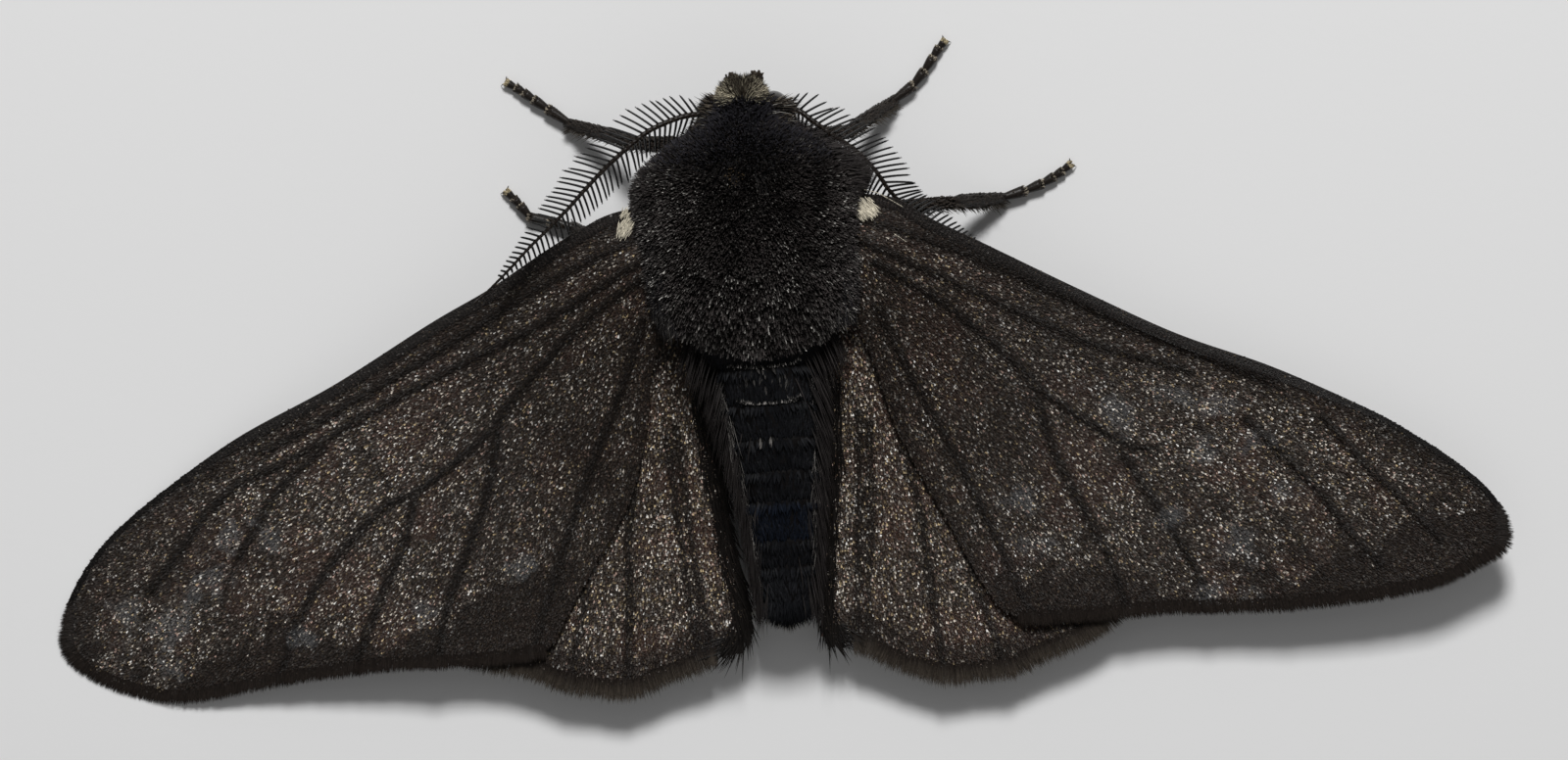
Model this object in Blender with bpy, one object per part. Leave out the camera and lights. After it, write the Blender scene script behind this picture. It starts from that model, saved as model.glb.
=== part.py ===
"""Peppered moth, the dark form, a male at rest with its wings spread flat: a life-size solid model.

Every size below is in millimetres, in the moth's own frame: +X to its right, +Y towards its head, +Z up,
with the floor that its feet stand on at Z = 0. The finished objects are in metres.
"""

import math
import random

import bmesh
import bpy
from mathutils import Matrix, Vector
from mathutils.geometry import delaunay_2d_cdt

MM = 0.001
GAP = 0.3  # clearance that touching nodes keep
MIDDLE_OF_BOX = (0.17, -4.7)  # centre of the whole moth in plan, which becomes the origin
NAME = "peppered_moth"
SEED = 8
SHARP_DEGREES = {"wing": 20}  # edges that turn more than this are shaded sharp
SHARP_ELSEWHERE = 50

RIGHT, LEFT = 1, -1
SIDE_NAMES = {RIGHT: "right", LEFT: "left"}

# Rows of a body form under its coat, from its front end to its back end: y, half width, top, bottom.
THORAX_ROWS = [
    (4.1, 0.0, 4.9, 4.9),
    (3.75, 1.5, 5.8, 3.9),
    (2.9, 2.85, 6.4, 2.8),
    (1.7, 3.5, 6.8, 2.1),
    (0.0, 3.65, 6.9, 1.75),
    (-1.7, 3.4, 6.6, 1.8),
    (-3.0, 2.8, 5.95, 2.3),
    (-3.7, 1.9, 5.3, 3.0),
    (-4.0, 0.0, 4.3, 4.3),
]
HEAD_ROWS = [
    (5.1, 0.0, 3.75, 3.75),
    (4.95, 0.85, 4.5, 3.0),
    (4.5, 1.3, 4.9, 2.6),
    (3.9, 1.4, 5.0, 2.6),
    (3.1, 1.0, 4.8, 3.0),
    (2.7, 0.0, 3.9, 3.9),
]
ABDOMEN_ROWS = [
    (-3.2, 0.0, 3.5, 3.5),
    (-3.6, 1.6, 4.8, 1.95),
    (-4.6, 2.0, 5.1, 1.45),
    (-6.2, 1.85, 4.85, 1.25),
    (-8.2, 1.6, 4.4, 1.1),
    (-10.2, 1.3, 3.8, 1.0),
    (-11.8, 1.0, 3.2, 0.95),
    (-12.8, 0.65, 2.7, 1.2),
    (-13.1, 0.0, 1.95, 1.95),
]
ABDOMEN_SWAY = 0.02  # sideways drift to the right for each millimetre back
ABDOMEN_RINGS = 7
RING_NOTCH = 0.05  # share of the width that each ring of the abdomen is drawn in at its rear edge

EYE_RADIUS = 0.68
EYE_PLACE = (1.28, 4.25, 3.75)
PALP_PATH = [(0.35, 4.5, 3.0), (0.42, 5.0, 2.85), (0.4, 5.4, 3.05)]
PALP_RADII = (0.26, 0.26, 0.2)
TONGUE_RADIUS = 0.28

# Locks of the coat: where each row starts (y), which way it runs (step in y), and its angles round the
# body in degrees from the right-hand side, where 90 is the middle of the back.
COAT_DEPTH = 0.45  # how far the tips lie above the form under them
LOCK_THICK = 0.5
LOCK_SINK = 0.35
LOCK_COURSE = ((0.0, -LOCK_SINK), (0.3, 0.1), (0.68, 0.34), (1.0, COAT_DEPTH))  # share of its run, and height
THORAX_LOCKS = [
    (3.15, 1.5, (90, 62, 34, 8, -20)),
    (2.9, -2.2, (76, 50, 26, 0, -28)),
    (1.6, -2.2, (90, 63, 42, -10, -38)),
    (0.4, -2.2, (76, 52, -16)),
    (-0.7, -2.1, (90, 64, 43, -40)),
    (-1.8, -2.1, (77, 52, -45)),
    (-2.7, -2.0, (90, 62, 36)),
]
THORAX_LOCK_WIDTH = 1.4
THORAX_LOCK_SPREAD = 14  # degrees that a lock leans away from the middle of the back
HEAD_LOCKS = [(4.0, 1.15, (90, 60))]
HEAD_LOCK_WIDTH = 0.8
FACE_TUFT_ROWS = [  # height of a row, where its locks start (y), and their places across
    (4.55, 4.7, (-0.36, 0.0, 0.36)),
    (4.1, 4.8, (-0.57, -0.2, 0.2, 0.57)),
    (3.6, 4.8, (-0.45, 0.0, 0.45)),
]
FACE_TUFT_TIP = 5.6
FACE_LOCK_WIDTH, FACE_LOCK_THICK = 0.6, 0.46
ABDOMEN_LOCKS = [
    (-4.3, -2.5, (56, 26, 2)),
    (-6.1, -2.5, (16, -10)),
    (-7.9, -2.4, (28, 2)),
    (-9.6, -2.3, (16, -10)),
    (-11.2, -2.0, (28, 2)),
    (-12.2, -1.6, (90, 50, 14, -28)),
]
ABDOMEN_LOCK_WIDTH = 1.0
ABDOMEN_LOCK_SPREAD = 8

WING_THICK = 0.5
FOREWING_ROOT = (3.6, -0.5)
# Outline of the right forewing, from its root out along the front edge, round the tip and back.
FOREWING_FRONT = [
    (2.6, 1.2), (4.6, 0.9), (7.2, -0.5), (11.0, -2.5), (15.0, -4.55), (18.8, -6.4), (22.1, -8.45),
]
FOREWING_TIP = [(24.0, -10.5), (24.8, -12.15), (23.9, -13.05)]
FOREWING_OUTER = [(20.4, -14.0), (16.7, -14.05), (13.2, -13.85), (10.2, -13.95), (8.2, -13.75)]
FOREWING_INNER = [(6.9, -12.3), (5.6, -9.7), (4.3, -6.8), (3.6, -4.2), (2.7, -2.2)]
HINDWING_FRONT = [(2.2, -2.6), (4.6, -4.3), (8.0, -7.3), (11.2, -10.2)]
HINDWING_OUTER = [(12.8, -12.4), (11.6, -13.9), (9.9, -14.85), (7.6, -15.55), (5.6, -15.65), (3.6, -15.0)]
HINDWING_INNER = [(2.0, -14.05), (1.35, -13.2), (1.45, -10.5), (1.8, -7.5), (2.0, -4.6)]

FOREWING_RISE = 3.6  # how far the root stands above the rear edge
FOREWING_REAR = 1.65  # height of the sheet over the hindwing's rear
FOREWING_FALL = 6.0  # distance over which the rise dies away
TIP_HEIGHT = {RIGHT: 2.1, LEFT: 0.1}
SHEET_STEP = 1.0  # how far the hindwing lies under the forewing
FALL_POWER = 1.3
TIP_BEGINS, TIP_ENDS = 11.0, 24.5
EDGE_STEP = 1.2
FILL_STEP = 2.4
VEIN_STEP = 1.9
VEIN_RISE = 0.18
VEIN_FLANK = 0.26  # how far each side of a vein slopes down to the membrane
VEIN_MARGIN = 0.2  # where a vein ends short of the wing's edge
FOREWING_VEINS = [
    [(3.6, 0.3), (7.4, -1.3), (11.0, -3.2), (14.6, -5.0), (17.2, -6.2)],
    [(3.6, -0.5), (7.6, -2.6), (11.0, -4.4), (14.4, -5.9)],
    [(14.4, -5.9), (18.2, -7.6), (21.2, -9.2), (23.6, -11.2)],
    [(16.3, -6.7), (19.4, -9.0), (21.4, -11.2), (22.4, -13.4)],
    [(14.4, -5.9), (16.5, -7.9), (18.6, -10.4), (20.2, -13.8)],
    [(14.5, -7.2), (16.4, -9.4), (17.7, -11.5), (18.4, -13.9)],
    [(14.4, -5.9), (14.5, -7.2), (13.5, -8.65)],
    [(12.1, -7.95), (13.5, -8.65), (15.5, -10.8), (16.6, -13.9)],
    [(3.9, -1.2), (8.4, -4.8), (12.1, -7.95)],
    [(12.1, -7.95), (13.2, -10.1), (14.2, -13.8)],
    [(9.2, -5.5), (10.1, -9.0), (11.7, -13.8)],
    [(3.8, -2.4), (6.1, -6.8), (8.5, -13.4)],
]
HINDWING_VEINS = [
    [(2.9, -3.5), (6.0, -6.4), (9.4, -9.7), (12.0, -12.6)],
    [(5.3, -6.6), (7.9, -9.9), (10.9, -14.2)],
    [(2.9, -4.6), (4.4, -7.0), (6.1, -9.4)],
    [(6.1, -9.4), (7.8, -11.9), (9.2, -15.0)],
    [(6.1, -9.4), (6.7, -12.3), (7.3, -15.5)],
    [(4.9, -7.8), (5.1, -11.6), (5.5, -15.5)],
    [(2.8, -5.8), (3.2, -9.6), (3.7, -15.0)],
]

# Shaft of each antenna, from its base to its tip.
ANTENNA_PATHS = {
    LEFT: [(-0.62, 4.5, 4.8), (-1.5, 4.7, 4.95), (-2.7, 4.4, 4.8), (-3.8, 3.85, 4.7), (-4.9, 3.1, 4.6),
           (-6.2, 1.95, 4.5), (-7.7, 0.35, 4.45), (-9.0, -0.95, 4.4), (-9.7, -1.5, 4.35)],
    RIGHT: [(0.62, 4.5, 4.8), (1.5, 4.7, 4.9), (2.6, 4.45, 4.5), (3.5, 3.85, 4.15), (4.3, 2.95, 3.75),
            (4.9, 1.9, 3.4), (5.6, 0.9, 3.1), (6.7, -0.1, 2.85), (8.0, -1.2, 2.5), (9.0, -1.9, 2.3)],
}
ANTENNA_RADII = (0.29, 0.26, 0.16)  # at the base, along the comb and at the bare tip
COMB_SPACING = 0.86
COMB_BEGINS, COMB_ENDS = 0.14, 0.93  # shares of the shaft that carry the comb
COMB_REACH = {LEFT: (1.9, 1.35), RIGHT: (1.7, 1.0)}  # longest teeth on the outer and on the inner side
COMB_SLANT = 0.75  # how far a tooth leans towards the tip for each millimetre out
COMB_THICK = 0.42

# Joints of each leg from the body to the claw: coxa, trochanter, knee, ankle and claw.
LEG_JOINTS = {
    "fore": [(0.8, 2.3, 2.2), (1.3, 3.3, 1.25), (3.3, 2.95, 2.0), (4.97, 4.2, 0.3), (6.84, 6.14, 0.2)],
    "mid": [(1.1, 0.1, 1.9), (1.9, 0.5, 0.95), (6.7, 0.65, 1.95), (8.4, 0.72, 0.3), (10.9, 1.64, 0.2)],
    "hind": [(1.0, -1.9, 1.9), (1.8, -2.5, 1.0), (4.4, -4.4, 1.75), (5.3, -8.0, 0.3), (6.5, -10.9, 0.2)],
}
LEFT_FEET = {"fore": [(5.95, 4.15, 0.3), (8.06, 5.64, 0.2)], "mid": [(6.6, 0.1, 0.3), (8.28, 1.98, 0.2)]}
LEFT_KNEES = {"fore": (3.9, 3.1, 2.0), "mid": (5.2, -0.6, 1.9)}
COXA_RADIUS, FEMUR_RADIUS, TIBIA_RADIUS, TARSUS_RADIUS = 0.45, 0.36, 0.3, 0.25
TARSUS_JOINTS = 5
CLAW_LENGTH, CLAW_THICK = 0.34, 0.16
FRINGE_SHARES = (0.17, 0.37, 0.58, 0.77)  # where the hair locks stand along each tibia
FRINGE_LENGTH, FRINGE_WIDTH, FRINGE_THICK = 1.15, 0.52, 0.36

COLOURS = {
    "coat": ((0.012, 0.011, 0.012), 0.9),
    "wing": ((0.035, 0.028, 0.023), 0.75),
    "eye": ((0.01, 0.009, 0.008), 0.25),
    "leg": ((0.04, 0.034, 0.028), 0.7),
    "antenna": ((0.02, 0.017, 0.015), 0.7),
}


def clear_scene():
    for thing in list(bpy.data.objects):
        bpy.data.objects.remove(thing)


def material(name):
    colour, roughness = COLOURS[name]
    made = bpy.data.materials.new(name)
    made.use_nodes = True
    shader = made.node_tree.nodes["Principled BSDF"]
    shader.inputs["Base Color"].default_value = (*colour, 1.0)
    shader.inputs["Roughness"].default_value = roughness
    shader.inputs["Metallic"].default_value = 0.0
    return made


def object_of(name, points, faces):
    """One mesh object from points in millimetres, with its faces turned outwards."""
    mesh = bpy.data.meshes.new(name)
    mesh.from_pydata([Vector(p) * MM for p in points], [], faces)
    work = bmesh.new()
    work.from_mesh(mesh)
    bmesh.ops.recalc_face_normals(work, faces=work.faces)
    work.to_mesh(mesh)
    work.free()
    made = bpy.data.objects.new(name, mesh)
    bpy.context.scene.collection.objects.link(made)
    return made


def on_spline(points, place):
    """Point of a Catmull-Rom curve through the given points; place runs from 0 to 1."""
    last = len(points) - 1
    spot = min(max(place, 0.0), 1.0) * last
    i = min(int(spot), last - 1)
    t = spot - i
    rows = [points[min(max(i + k, 0), last)] for k in (-1, 0, 1, 2)]
    made = []
    for a, b, c, d in zip(*rows):
        bend = 2 * b + (c - a) * t + (2 * a - 5 * b + 4 * c - d) * t**2 + (3 * b - a - 3 * c + d) * t**3
        made.append(bend / 2)
    return Vector(made)


def along(points, step):
    """Points about one step apart along the curve through the given points, both ends included."""
    fine = [on_spline(points, k / (len(points) * 24)) for k in range(len(points) * 24 + 1)]
    run = [0.0]
    for a, b in zip(fine, fine[1:]):
        run.append(run[-1] + (b - a).length)
    count = max(1, round(run[-1] / step))
    made, k = [], 0
    for n in range(count + 1):
        while k < len(run) - 2 and run[k + 1] < run[-1] * n / count:
            k += 1
        share = (run[-1] * n / count - run[k]) / max(run[k + 1] - run[k], 1e-9)
        made.append(fine[k].lerp(fine[k + 1], min(share, 1.0)))
    return made


def tube_of(name, rings, first, last):
    """Closed skin over a row of rings with the same number of points, between two end points."""
    sides = len(rings[0])
    points = [p for ring in rings for p in ring] + [first, last]
    start, end = len(points) - 2, len(points) - 1
    faces = []
    for k in range(sides):
        n = (k + 1) % sides
        faces.append((start, k, n))
        for r in range(len(rings) - 1):
            faces.append((r * sides + k, (r + 1) * sides + k, (r + 1) * sides + n, r * sides + n))
        tail = (len(rings) - 1) * sides
        faces.append((tail + k, end, tail + n))
    return object_of(name, points, faces)


def body_form(name, rows, sides, ring_count, grow=0.0, sway=0.0, notches=0):
    """Rounded body along Y from its rows, grown evenly by some millimetres when it is to cut a neighbour."""
    front, back = rows[0][0], rows[-1][0]
    middle, reach = (front + back) / 2, (front - back) / 2
    wide = max(row[1] for row in rows)
    tall = max(row[2] - row[3] for row in rows) / 2
    stations = [on_spline(rows, k / (ring_count + 1)) for k in range(ring_count + 2)]
    rings = []
    for k, (y, half, top, bottom) in enumerate(stations):
        centre = (top + bottom) / 2
        far = middle + (y - middle) * (1 + grow / reach)
        drawn = 1 - RING_NOTCH if notches and k % (ring_count // notches) == 0 else 1
        ring = []
        for n in range(sides):
            turn = math.tau * n / sides
            x = half * drawn * (1 + grow / wide) * math.cos(turn) - sway * y
            ring.append((x, far, centre + (top - bottom) / 2 * drawn * (1 + grow / tall) * math.sin(turn)))
        rings.append(ring)
    ends = [(-sway * rings[k][0][1], rings[k][0][1], rings[k][0][2]) for k in (0, -1)]
    return tube_of(name, rings[1:-1], *ends)


def row_at(rows, y):
    """Half width, top and bottom of a body form at a place along it."""
    y = min(max(y, rows[-1][0] + 0.15), rows[0][0] - 0.15)
    low, high = 0.0, 1.0
    for _ in range(24):
        middle = (low + high) / 2
        if on_spline(rows, middle)[0] > y:
            low = middle
        else:
            high = middle
    return on_spline(rows, low)


def on_form(rows, y, degrees, height, sway=0.0):
    """Point that lies some height above a body form, and the direction that is up from the form there."""
    level, half, top, bottom = row_at(rows, y)
    turn = math.radians(degrees)
    tall = (top - bottom) / 2
    _, half_ahead, top_ahead, bottom_ahead = row_at(rows, level + 0.2)
    slope = ((half - half_ahead) * abs(math.cos(turn)) + (tall - (top_ahead - bottom_ahead) / 2)) / 0.4
    up = Vector((math.cos(turn) / half, 0.0, math.sin(turn) / tall)).normalized()
    up = Vector((up.x, min(max(slope, -0.9), 0.9), up.z)).normalized()
    spot = Vector((half * math.cos(turn) - sway * y, y, (top + bottom) / 2 + tall * math.sin(turn)))
    return spot + up * height, up


def kept_off(spot, rows, gap, sway=0.0):
    """The point itself, or moved straight out from a neighbouring body form that it would come too near."""
    if not rows[-1][0] - gap < spot.y < rows[0][0] + gap:
        return spot
    _, half, top, bottom = row_at(rows, spot.y)
    middle = Vector((-sway * spot.y, spot.y, (top + bottom) / 2))
    away = spot - middle
    share = math.hypot(away.x / (half + gap), away.z / ((top - bottom) / 2 + gap))
    return spot if share >= 1 else middle + away / max(share, 0.2)


def kept_off_wings(spot, above, sheet_drop):
    """The point itself, or lifted over the wing sheet sheet_drop down, or pressed under both sheets."""
    if spot.y > FOREWING_FRONT[0][1] + 0.6 or abs(spot.x) < 1.0:
        return spot
    reach = WING_THICK / 2 + VEIN_RISE + GAP + LOCK_THICK / 2
    level = sheet_height(abs(spot.x), spot.y)
    if above:
        return Vector((spot.x, spot.y, max(spot.z, level - sheet_drop + reach)))
    lowest_sheet = SHEET_STEP if spot.y < HINDWING_FRONT[0][1] + 0.6 else 0.0
    return Vector((spot.x, spot.y, min(spot.z, level - lowest_sheet - reach)))


def lock(name, path, ups, width, thick):
    """Flat lock with four sides that follows its path and tapers to a point at the path's end."""
    rings = []
    for k, share in enumerate((0.8, 1.0, 0.62)):
        ahead = path[k + 1] - path[max(k - 1, 0)]
        across = ahead.cross(ups[k]).normalized() * width / 2 * share
        up = across.cross(ahead).normalized() * thick / 2 * (1 - 0.25 * k)
        rings.append([path[k] + across, path[k] + up, path[k] - across, path[k] - up])
    return tube_of(name, rings, path[0] - (path[1] - path[0]) * 0.02, path[3])


def coat_locks(name, rows, plan, width, spread, draw, neighbours, sway=0.0, lowest_above=20, sheet_drop=0.0):
    """Locks of a coat in rows, each following the form under it and kept clear of what lies beside it."""
    made = []
    for start, run, turns in plan:
        for degrees in turns:
            for side in (RIGHT, LEFT):
                if degrees == 90 and side == LEFT:
                    continue
                lean = spread * math.cos(math.radians(max(degrees, 0))) + draw.uniform(-3, 3)
                size = draw.uniform(0.88, 1.1)
                path, ups = [], []
                for share, height in LOCK_COURSE:
                    turn = degrees - lean * share
                    turn = turn if side == RIGHT else 180 - turn
                    spot, up = on_form(rows, start + run * size * share, turn, height, sway)
                    if share:
                        for other, other_sway in neighbours:
                            spot = kept_off(spot, other, GAP + LOCK_THICK * 0.4, other_sway)
                        spot = kept_off_wings(spot, degrees > lowest_above, sheet_drop)
                    path.append(spot)
                    ups.append(up)
                made.append(lock(name + "_lock", path, ups, width * size, LOCK_THICK))
    return made


def evaluated_mesh(thing):
    bpy.context.view_layer.update()
    graph = bpy.context.evaluated_depsgraph_get()
    return bpy.data.meshes.new_from_object(thing.evaluated_get(graph))


def keep_largest(thing):
    """Leaves only the closed surface with the largest volume."""
    work = bmesh.new()
    work.from_mesh(thing.data)
    unseen, groups = set(work.verts), []
    while unseen:
        stack, group = [unseen.pop()], set()
        while stack:
            vert = stack.pop()
            group.add(vert)
            for edge in vert.link_edges:
                other = edge.other_vert(vert)
                if other in unseen:
                    unseen.remove(other)
                    stack.append(other)
        groups.append(group)

    def volume(group):
        total = 0.0
        for face in {f for v in group for f in v.link_faces}:
            a = face.verts[0].co
            for b, c in zip(face.verts[1:], face.verts[2:]):
                total += a.dot(b.co.cross(c.co))
        return abs(total)

    best = max(groups, key=volume)
    bmesh.ops.delete(work, geom=[v for v in work.verts if v not in best], context="VERTS")
    work.to_mesh(thing.data)
    work.free()


def boolean(thing, others, operation):
    """Joins or cuts with a group of closed objects in one step, which removes them."""
    group = bpy.data.collections.new(thing.name + "_" + operation.lower())
    for other in others:
        for home in list(other.users_collection):
            home.objects.unlink(other)
        group.objects.link(other)
    bpy.context.scene.collection.children.link(group)
    step = thing.modifiers.new(operation, "BOOLEAN")
    step.operation = operation
    step.operand_type = "COLLECTION"
    step.collection = group
    step.solver = "MANIFOLD"
    made = evaluated_mesh(thing)
    thing.modifiers.clear()
    thing.data = made
    for other in list(group.objects):
        bpy.data.objects.remove(other)
    bpy.data.collections.remove(group)
    keep_largest(thing)


def thorax_clearance():
    return body_form("thorax_clearance", THORAX_ROWS, 32, 14, grow=GAP)


def abdomen_clearance():
    return body_form("abdomen_clearance", ABDOMEN_ROWS, 24, 14, grow=GAP, sway=ABDOMEN_SWAY)


def head_clearance():
    return body_form("head_clearance", HEAD_ROWS, 24, 12, grow=GAP)


def ball(name, centre, radius, detail=3):
    work = bmesh.new()
    bmesh.ops.create_icosphere(work, subdivisions=detail, radius=radius * MM)
    mesh = bpy.data.meshes.new(name)
    work.to_mesh(mesh)
    work.free()
    mesh.transform(Matrix.Translation(Vector(centre) * MM))
    made = bpy.data.objects.new(name, mesh)
    bpy.context.scene.collection.objects.link(made)
    return made


def eye_ball(name, side, grow=0.0):
    x, y, z = EYE_PLACE
    return ball(name, (side * x, y, z), EYE_RADIUS + grow)


def build_thorax(draw):
    thorax = body_form("thorax", THORAX_ROWS, 28, 12)
    neighbours = ((HEAD_ROWS, 0.0), (ABDOMEN_ROWS, ABDOMEN_SWAY))
    locks = coat_locks("thorax", THORAX_ROWS, THORAX_LOCKS, THORAX_LOCK_WIDTH, THORAX_LOCK_SPREAD, draw,
                       neighbours)
    boolean(thorax, locks, "UNION")
    return thorax


def build_head(draw):
    """Head with its frontal tuft, two short palps and the small coil of its tongue."""
    head = body_form("head", HEAD_ROWS, 24, 10)
    pieces = coat_locks("head", HEAD_ROWS, HEAD_LOCKS, HEAD_LOCK_WIDTH, 0, draw, ())
    for z, start, places in FACE_TUFT_ROWS:
        for x in places:
            length = (FACE_TUFT_TIP - start) * draw.uniform(0.85, 1.0)
            path = [Vector((x * (1 + 0.3 * on), start + length * on, z + 0.25 * on**2))
                    for on in (-0.4, 0.3, 0.7, 1)]
            pieces.append(lock("face_tuft", path, [Vector((0, 0, 1))] * 3, FACE_LOCK_WIDTH, FACE_LOCK_THICK))
    for side in SIDE_NAMES:
        path = [Vector((side * x, y, z)) for x, y, z in PALP_PATH]
        pieces.append(swept_tube("palp", path, PALP_RADII))
    pieces.append(ball("tongue", (0.0, PALP_PATH[1][1] - 0.1, PALP_PATH[0][2] - 0.15), TONGUE_RADIUS, 2))
    boolean(head, pieces, "UNION")
    cutters = [thorax_clearance()]
    for side in SIDE_NAMES:
        cutters.append(eye_ball("eye_socket", side, GAP))
        shaft = [Vector(p) for p in ANTENNA_PATHS[side][:3]]
        cutters.append(swept_tube("antenna_socket", shaft, [ANTENNA_RADII[0] + GAP] * 3))
    boolean(head, cutters, "DIFFERENCE")
    return head


def build_eye(side):
    eye = eye_ball("eye_" + SIDE_NAMES[side], side)
    boolean(eye, [thorax_clearance()], "DIFFERENCE")
    return eye


def build_abdomen(draw):
    abdomen = body_form("abdomen", ABDOMEN_ROWS, 16, 14, sway=ABDOMEN_SWAY, notches=ABDOMEN_RINGS)
    locks = coat_locks("abdomen", ABDOMEN_ROWS, ABDOMEN_LOCKS, ABDOMEN_LOCK_WIDTH, ABDOMEN_LOCK_SPREAD,
                       draw, (), ABDOMEN_SWAY, lowest_above=-90, sheet_drop=SHEET_STEP)
    boolean(abdomen, locks, "UNION")
    boolean(abdomen, [thorax_clearance()], "DIFFERENCE")
    return abdomen


def sheet_height(x, y):
    """Height of the forewings before their tips bend: high at the root, level towards the rear edge."""
    away = math.hypot(x - FOREWING_ROOT[0], y - FOREWING_ROOT[1])
    return FOREWING_REAR + FOREWING_RISE * math.exp(-((away / FOREWING_FALL) ** FALL_POWER))


def forewing_height(x, y, side):
    share = min(max((x - TIP_BEGINS) / (TIP_ENDS - TIP_BEGINS), 0.0), 1.0)
    share = share * share * (3 - 2 * share)
    return max(sheet_height(x, y) + (TIP_HEIGHT[side] - FOREWING_REAR) * share, WING_THICK / 2)


def hindwing_height(x, y, side):
    return sheet_height(x, y) - SHEET_STEP


def inside(place, outline):
    x, y = place
    hit = False
    for a, b in zip(outline, outline[1:] + outline[:1]):
        if (a.y > y) != (b.y > y) and x < (b.x - a.x) * (y - a.y) / (b.y - a.y) + a.x:
            hit = not hit
    return hit


def off_line(place, line):
    """Distance from a place in plan to a row of points joined by straight runs."""
    best = 1e9
    for a, b in zip(line, line[1:]):
        run = b - a
        share = min(max((place - a).dot(run) / run.length_squared, 0.0), 1.0)
        best = min(best, (place - a - run * share).length)
    return best


def add_veins(plan, edge, courses):
    """Adds the crests of the veins and the feet of their slopes to the plan; returns the runs between them."""
    margin = edge + edge[:1]
    runs = []
    for number, course in enumerate(courses):
        others = courses[:number] + courses[number + 1:]
        for offset in (0.0, VEIN_FLANK, -VEIN_FLANK):
            last = None
            for k, crest in enumerate(course):
                run = course[min(k + 1, len(course) - 1)] - course[max(k - 1, 0)]
                place = crest + Vector((run.y, -run.x)).normalized() * offset
                usable = inside(place, edge) and off_line(place, margin) > VEIN_MARGIN
                if offset:
                    usable = usable and min(off_line(place, line) for line in others) > VEIN_FLANK * 0.8
                if not usable:
                    last = None
                    continue
                near = [i for i, old in enumerate(plan) if (old - place).length < VEIN_FLANK * 0.6]
                here = near[0] if near else len(plan)
                if not near:
                    plan.append(place)
                if last is not None and last != here:
                    runs.append((last, here))
                last = here
    return runs


def wing_sheet(name, edge_points, veins, height, side):
    """Wing membrane with raised veins over its outline, split into the same triangles on both faces."""
    edge = along([Vector(p) for p in edge_points + edge_points[:1]], EDGE_STEP)[:-1]
    plan = list(edge)
    courses = [along([Vector(p) for p in vein], VEIN_STEP) for vein in veins]
    runs = add_veins(plan, edge, courses)
    low = Vector((min(p.x for p in edge), min(p.y for p in edge)))
    high = Vector((max(p.x for p in edge), max(p.y for p in edge)))
    rows = int((high.y - low.y) / (FILL_STEP * math.sqrt(3) / 2)) + 1
    for row in range(rows):
        y = low.y + row * FILL_STEP * math.sqrt(3) / 2
        for column in range(int((high.x - low.x) / FILL_STEP) + 1):
            place = Vector((low.x + (column + 0.5 * (row % 2)) * FILL_STEP, y))
            if inside(place, edge) and min((place - p).length for p in plan) > FILL_STEP * 0.45:
                plan.append(place)
    loop = list(range(len(edge)))
    flat, _, triangles, *_ = delaunay_2d_cdt(plan, runs, [loop], 1, 1e-4)
    count = len(flat)
    rise = [VEIN_RISE * max(0.0, 1 - min(off_line(p, line) for line in courses) / VEIN_FLANK) for p in flat]
    points = [(side * p.x, p.y, height(p.x, p.y, side) + WING_THICK / 2 + up) for p, up in zip(flat, rise)]
    points += [(side * p.x, p.y, height(p.x, p.y, side) - WING_THICK / 2) for p in flat]
    faces = [tuple(f) for f in triangles] + [tuple(i + count for i in reversed(f)) for f in triangles]
    uses = {}
    for f in triangles:
        for a, b in zip(f, list(f[1:]) + [f[0]]):
            uses[(a, b)] = True
    for a, b in uses:
        if (b, a) not in uses:
            faces += [(b, a, a + count), (b, a + count, b + count)]
    return object_of(name, points, faces)


def build_forewing(side):
    outline = FOREWING_FRONT + FOREWING_TIP + FOREWING_OUTER + FOREWING_INNER
    wing = wing_sheet("forewing_" + SIDE_NAMES[side], outline, FOREWING_VEINS, forewing_height, side)
    boolean(wing, [thorax_clearance(), abdomen_clearance()], "DIFFERENCE")
    return wing


def build_hindwing(side):
    outline = HINDWING_FRONT + HINDWING_OUTER + HINDWING_INNER
    wing = wing_sheet("hindwing_" + SIDE_NAMES[side], outline, HINDWING_VEINS, hindwing_height, side)
    boolean(wing, [thorax_clearance(), abdomen_clearance()], "DIFFERENCE")
    return wing


def build_antenna(side, draw):
    """Feeler with a tapered shaft and a comb tooth to either side at each step, longest in the middle."""
    path = along([Vector(p) for p in ANTENNA_PATHS[side]], COMB_SPACING)
    count = len(path) - 1
    base, middle, tip = ANTENNA_RADII
    radii = [base] + [middle + (tip - middle) * (k / count) ** 2 for k in range(1, count + 1)]
    antenna = swept_tube("antenna_" + SIDE_NAMES[side], path, radii)
    teeth = []
    for k in range(1, count):
        share = k / count
        if not COMB_BEGINS < share < COMB_ENDS:
            continue
        ahead = (path[k + 1] - path[k - 1]).normalized()
        out = ahead.cross(Vector((0, 0, 1))).normalized() * -side
        for way, longest in zip((1, -1), COMB_REACH[side]):
            place = (share - COMB_BEGINS) / (COMB_ENDS - COMB_BEGINS)
            reach = longest * math.sin(math.pi * (0.12 + 0.8 * place)) ** 0.7 * draw.uniform(0.94, 1.06)
            tooth, ups = [], []
            for run in (0.04, 0.35, 0.7, 1.0):
                drop = -0.12 * run * reach
                step = out * way * run * reach + ahead * COMB_SLANT * reach * run**1.4
                tooth.append(path[k] + step + Vector((0, 0, drop)))
                ups.append(Vector((0, 0, 1)))
            teeth.append(lock("tooth", tooth, ups, COMB_THICK, COMB_THICK))
    boolean(antenna, teeth, "UNION")
    coat = body_form("coat_clearance", THORAX_ROWS, 32, 14, grow=GAP + COAT_DEPTH)
    boolean(antenna, [coat, eye_ball("eye_clearance", side, GAP)], "DIFFERENCE")
    return antenna


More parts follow.
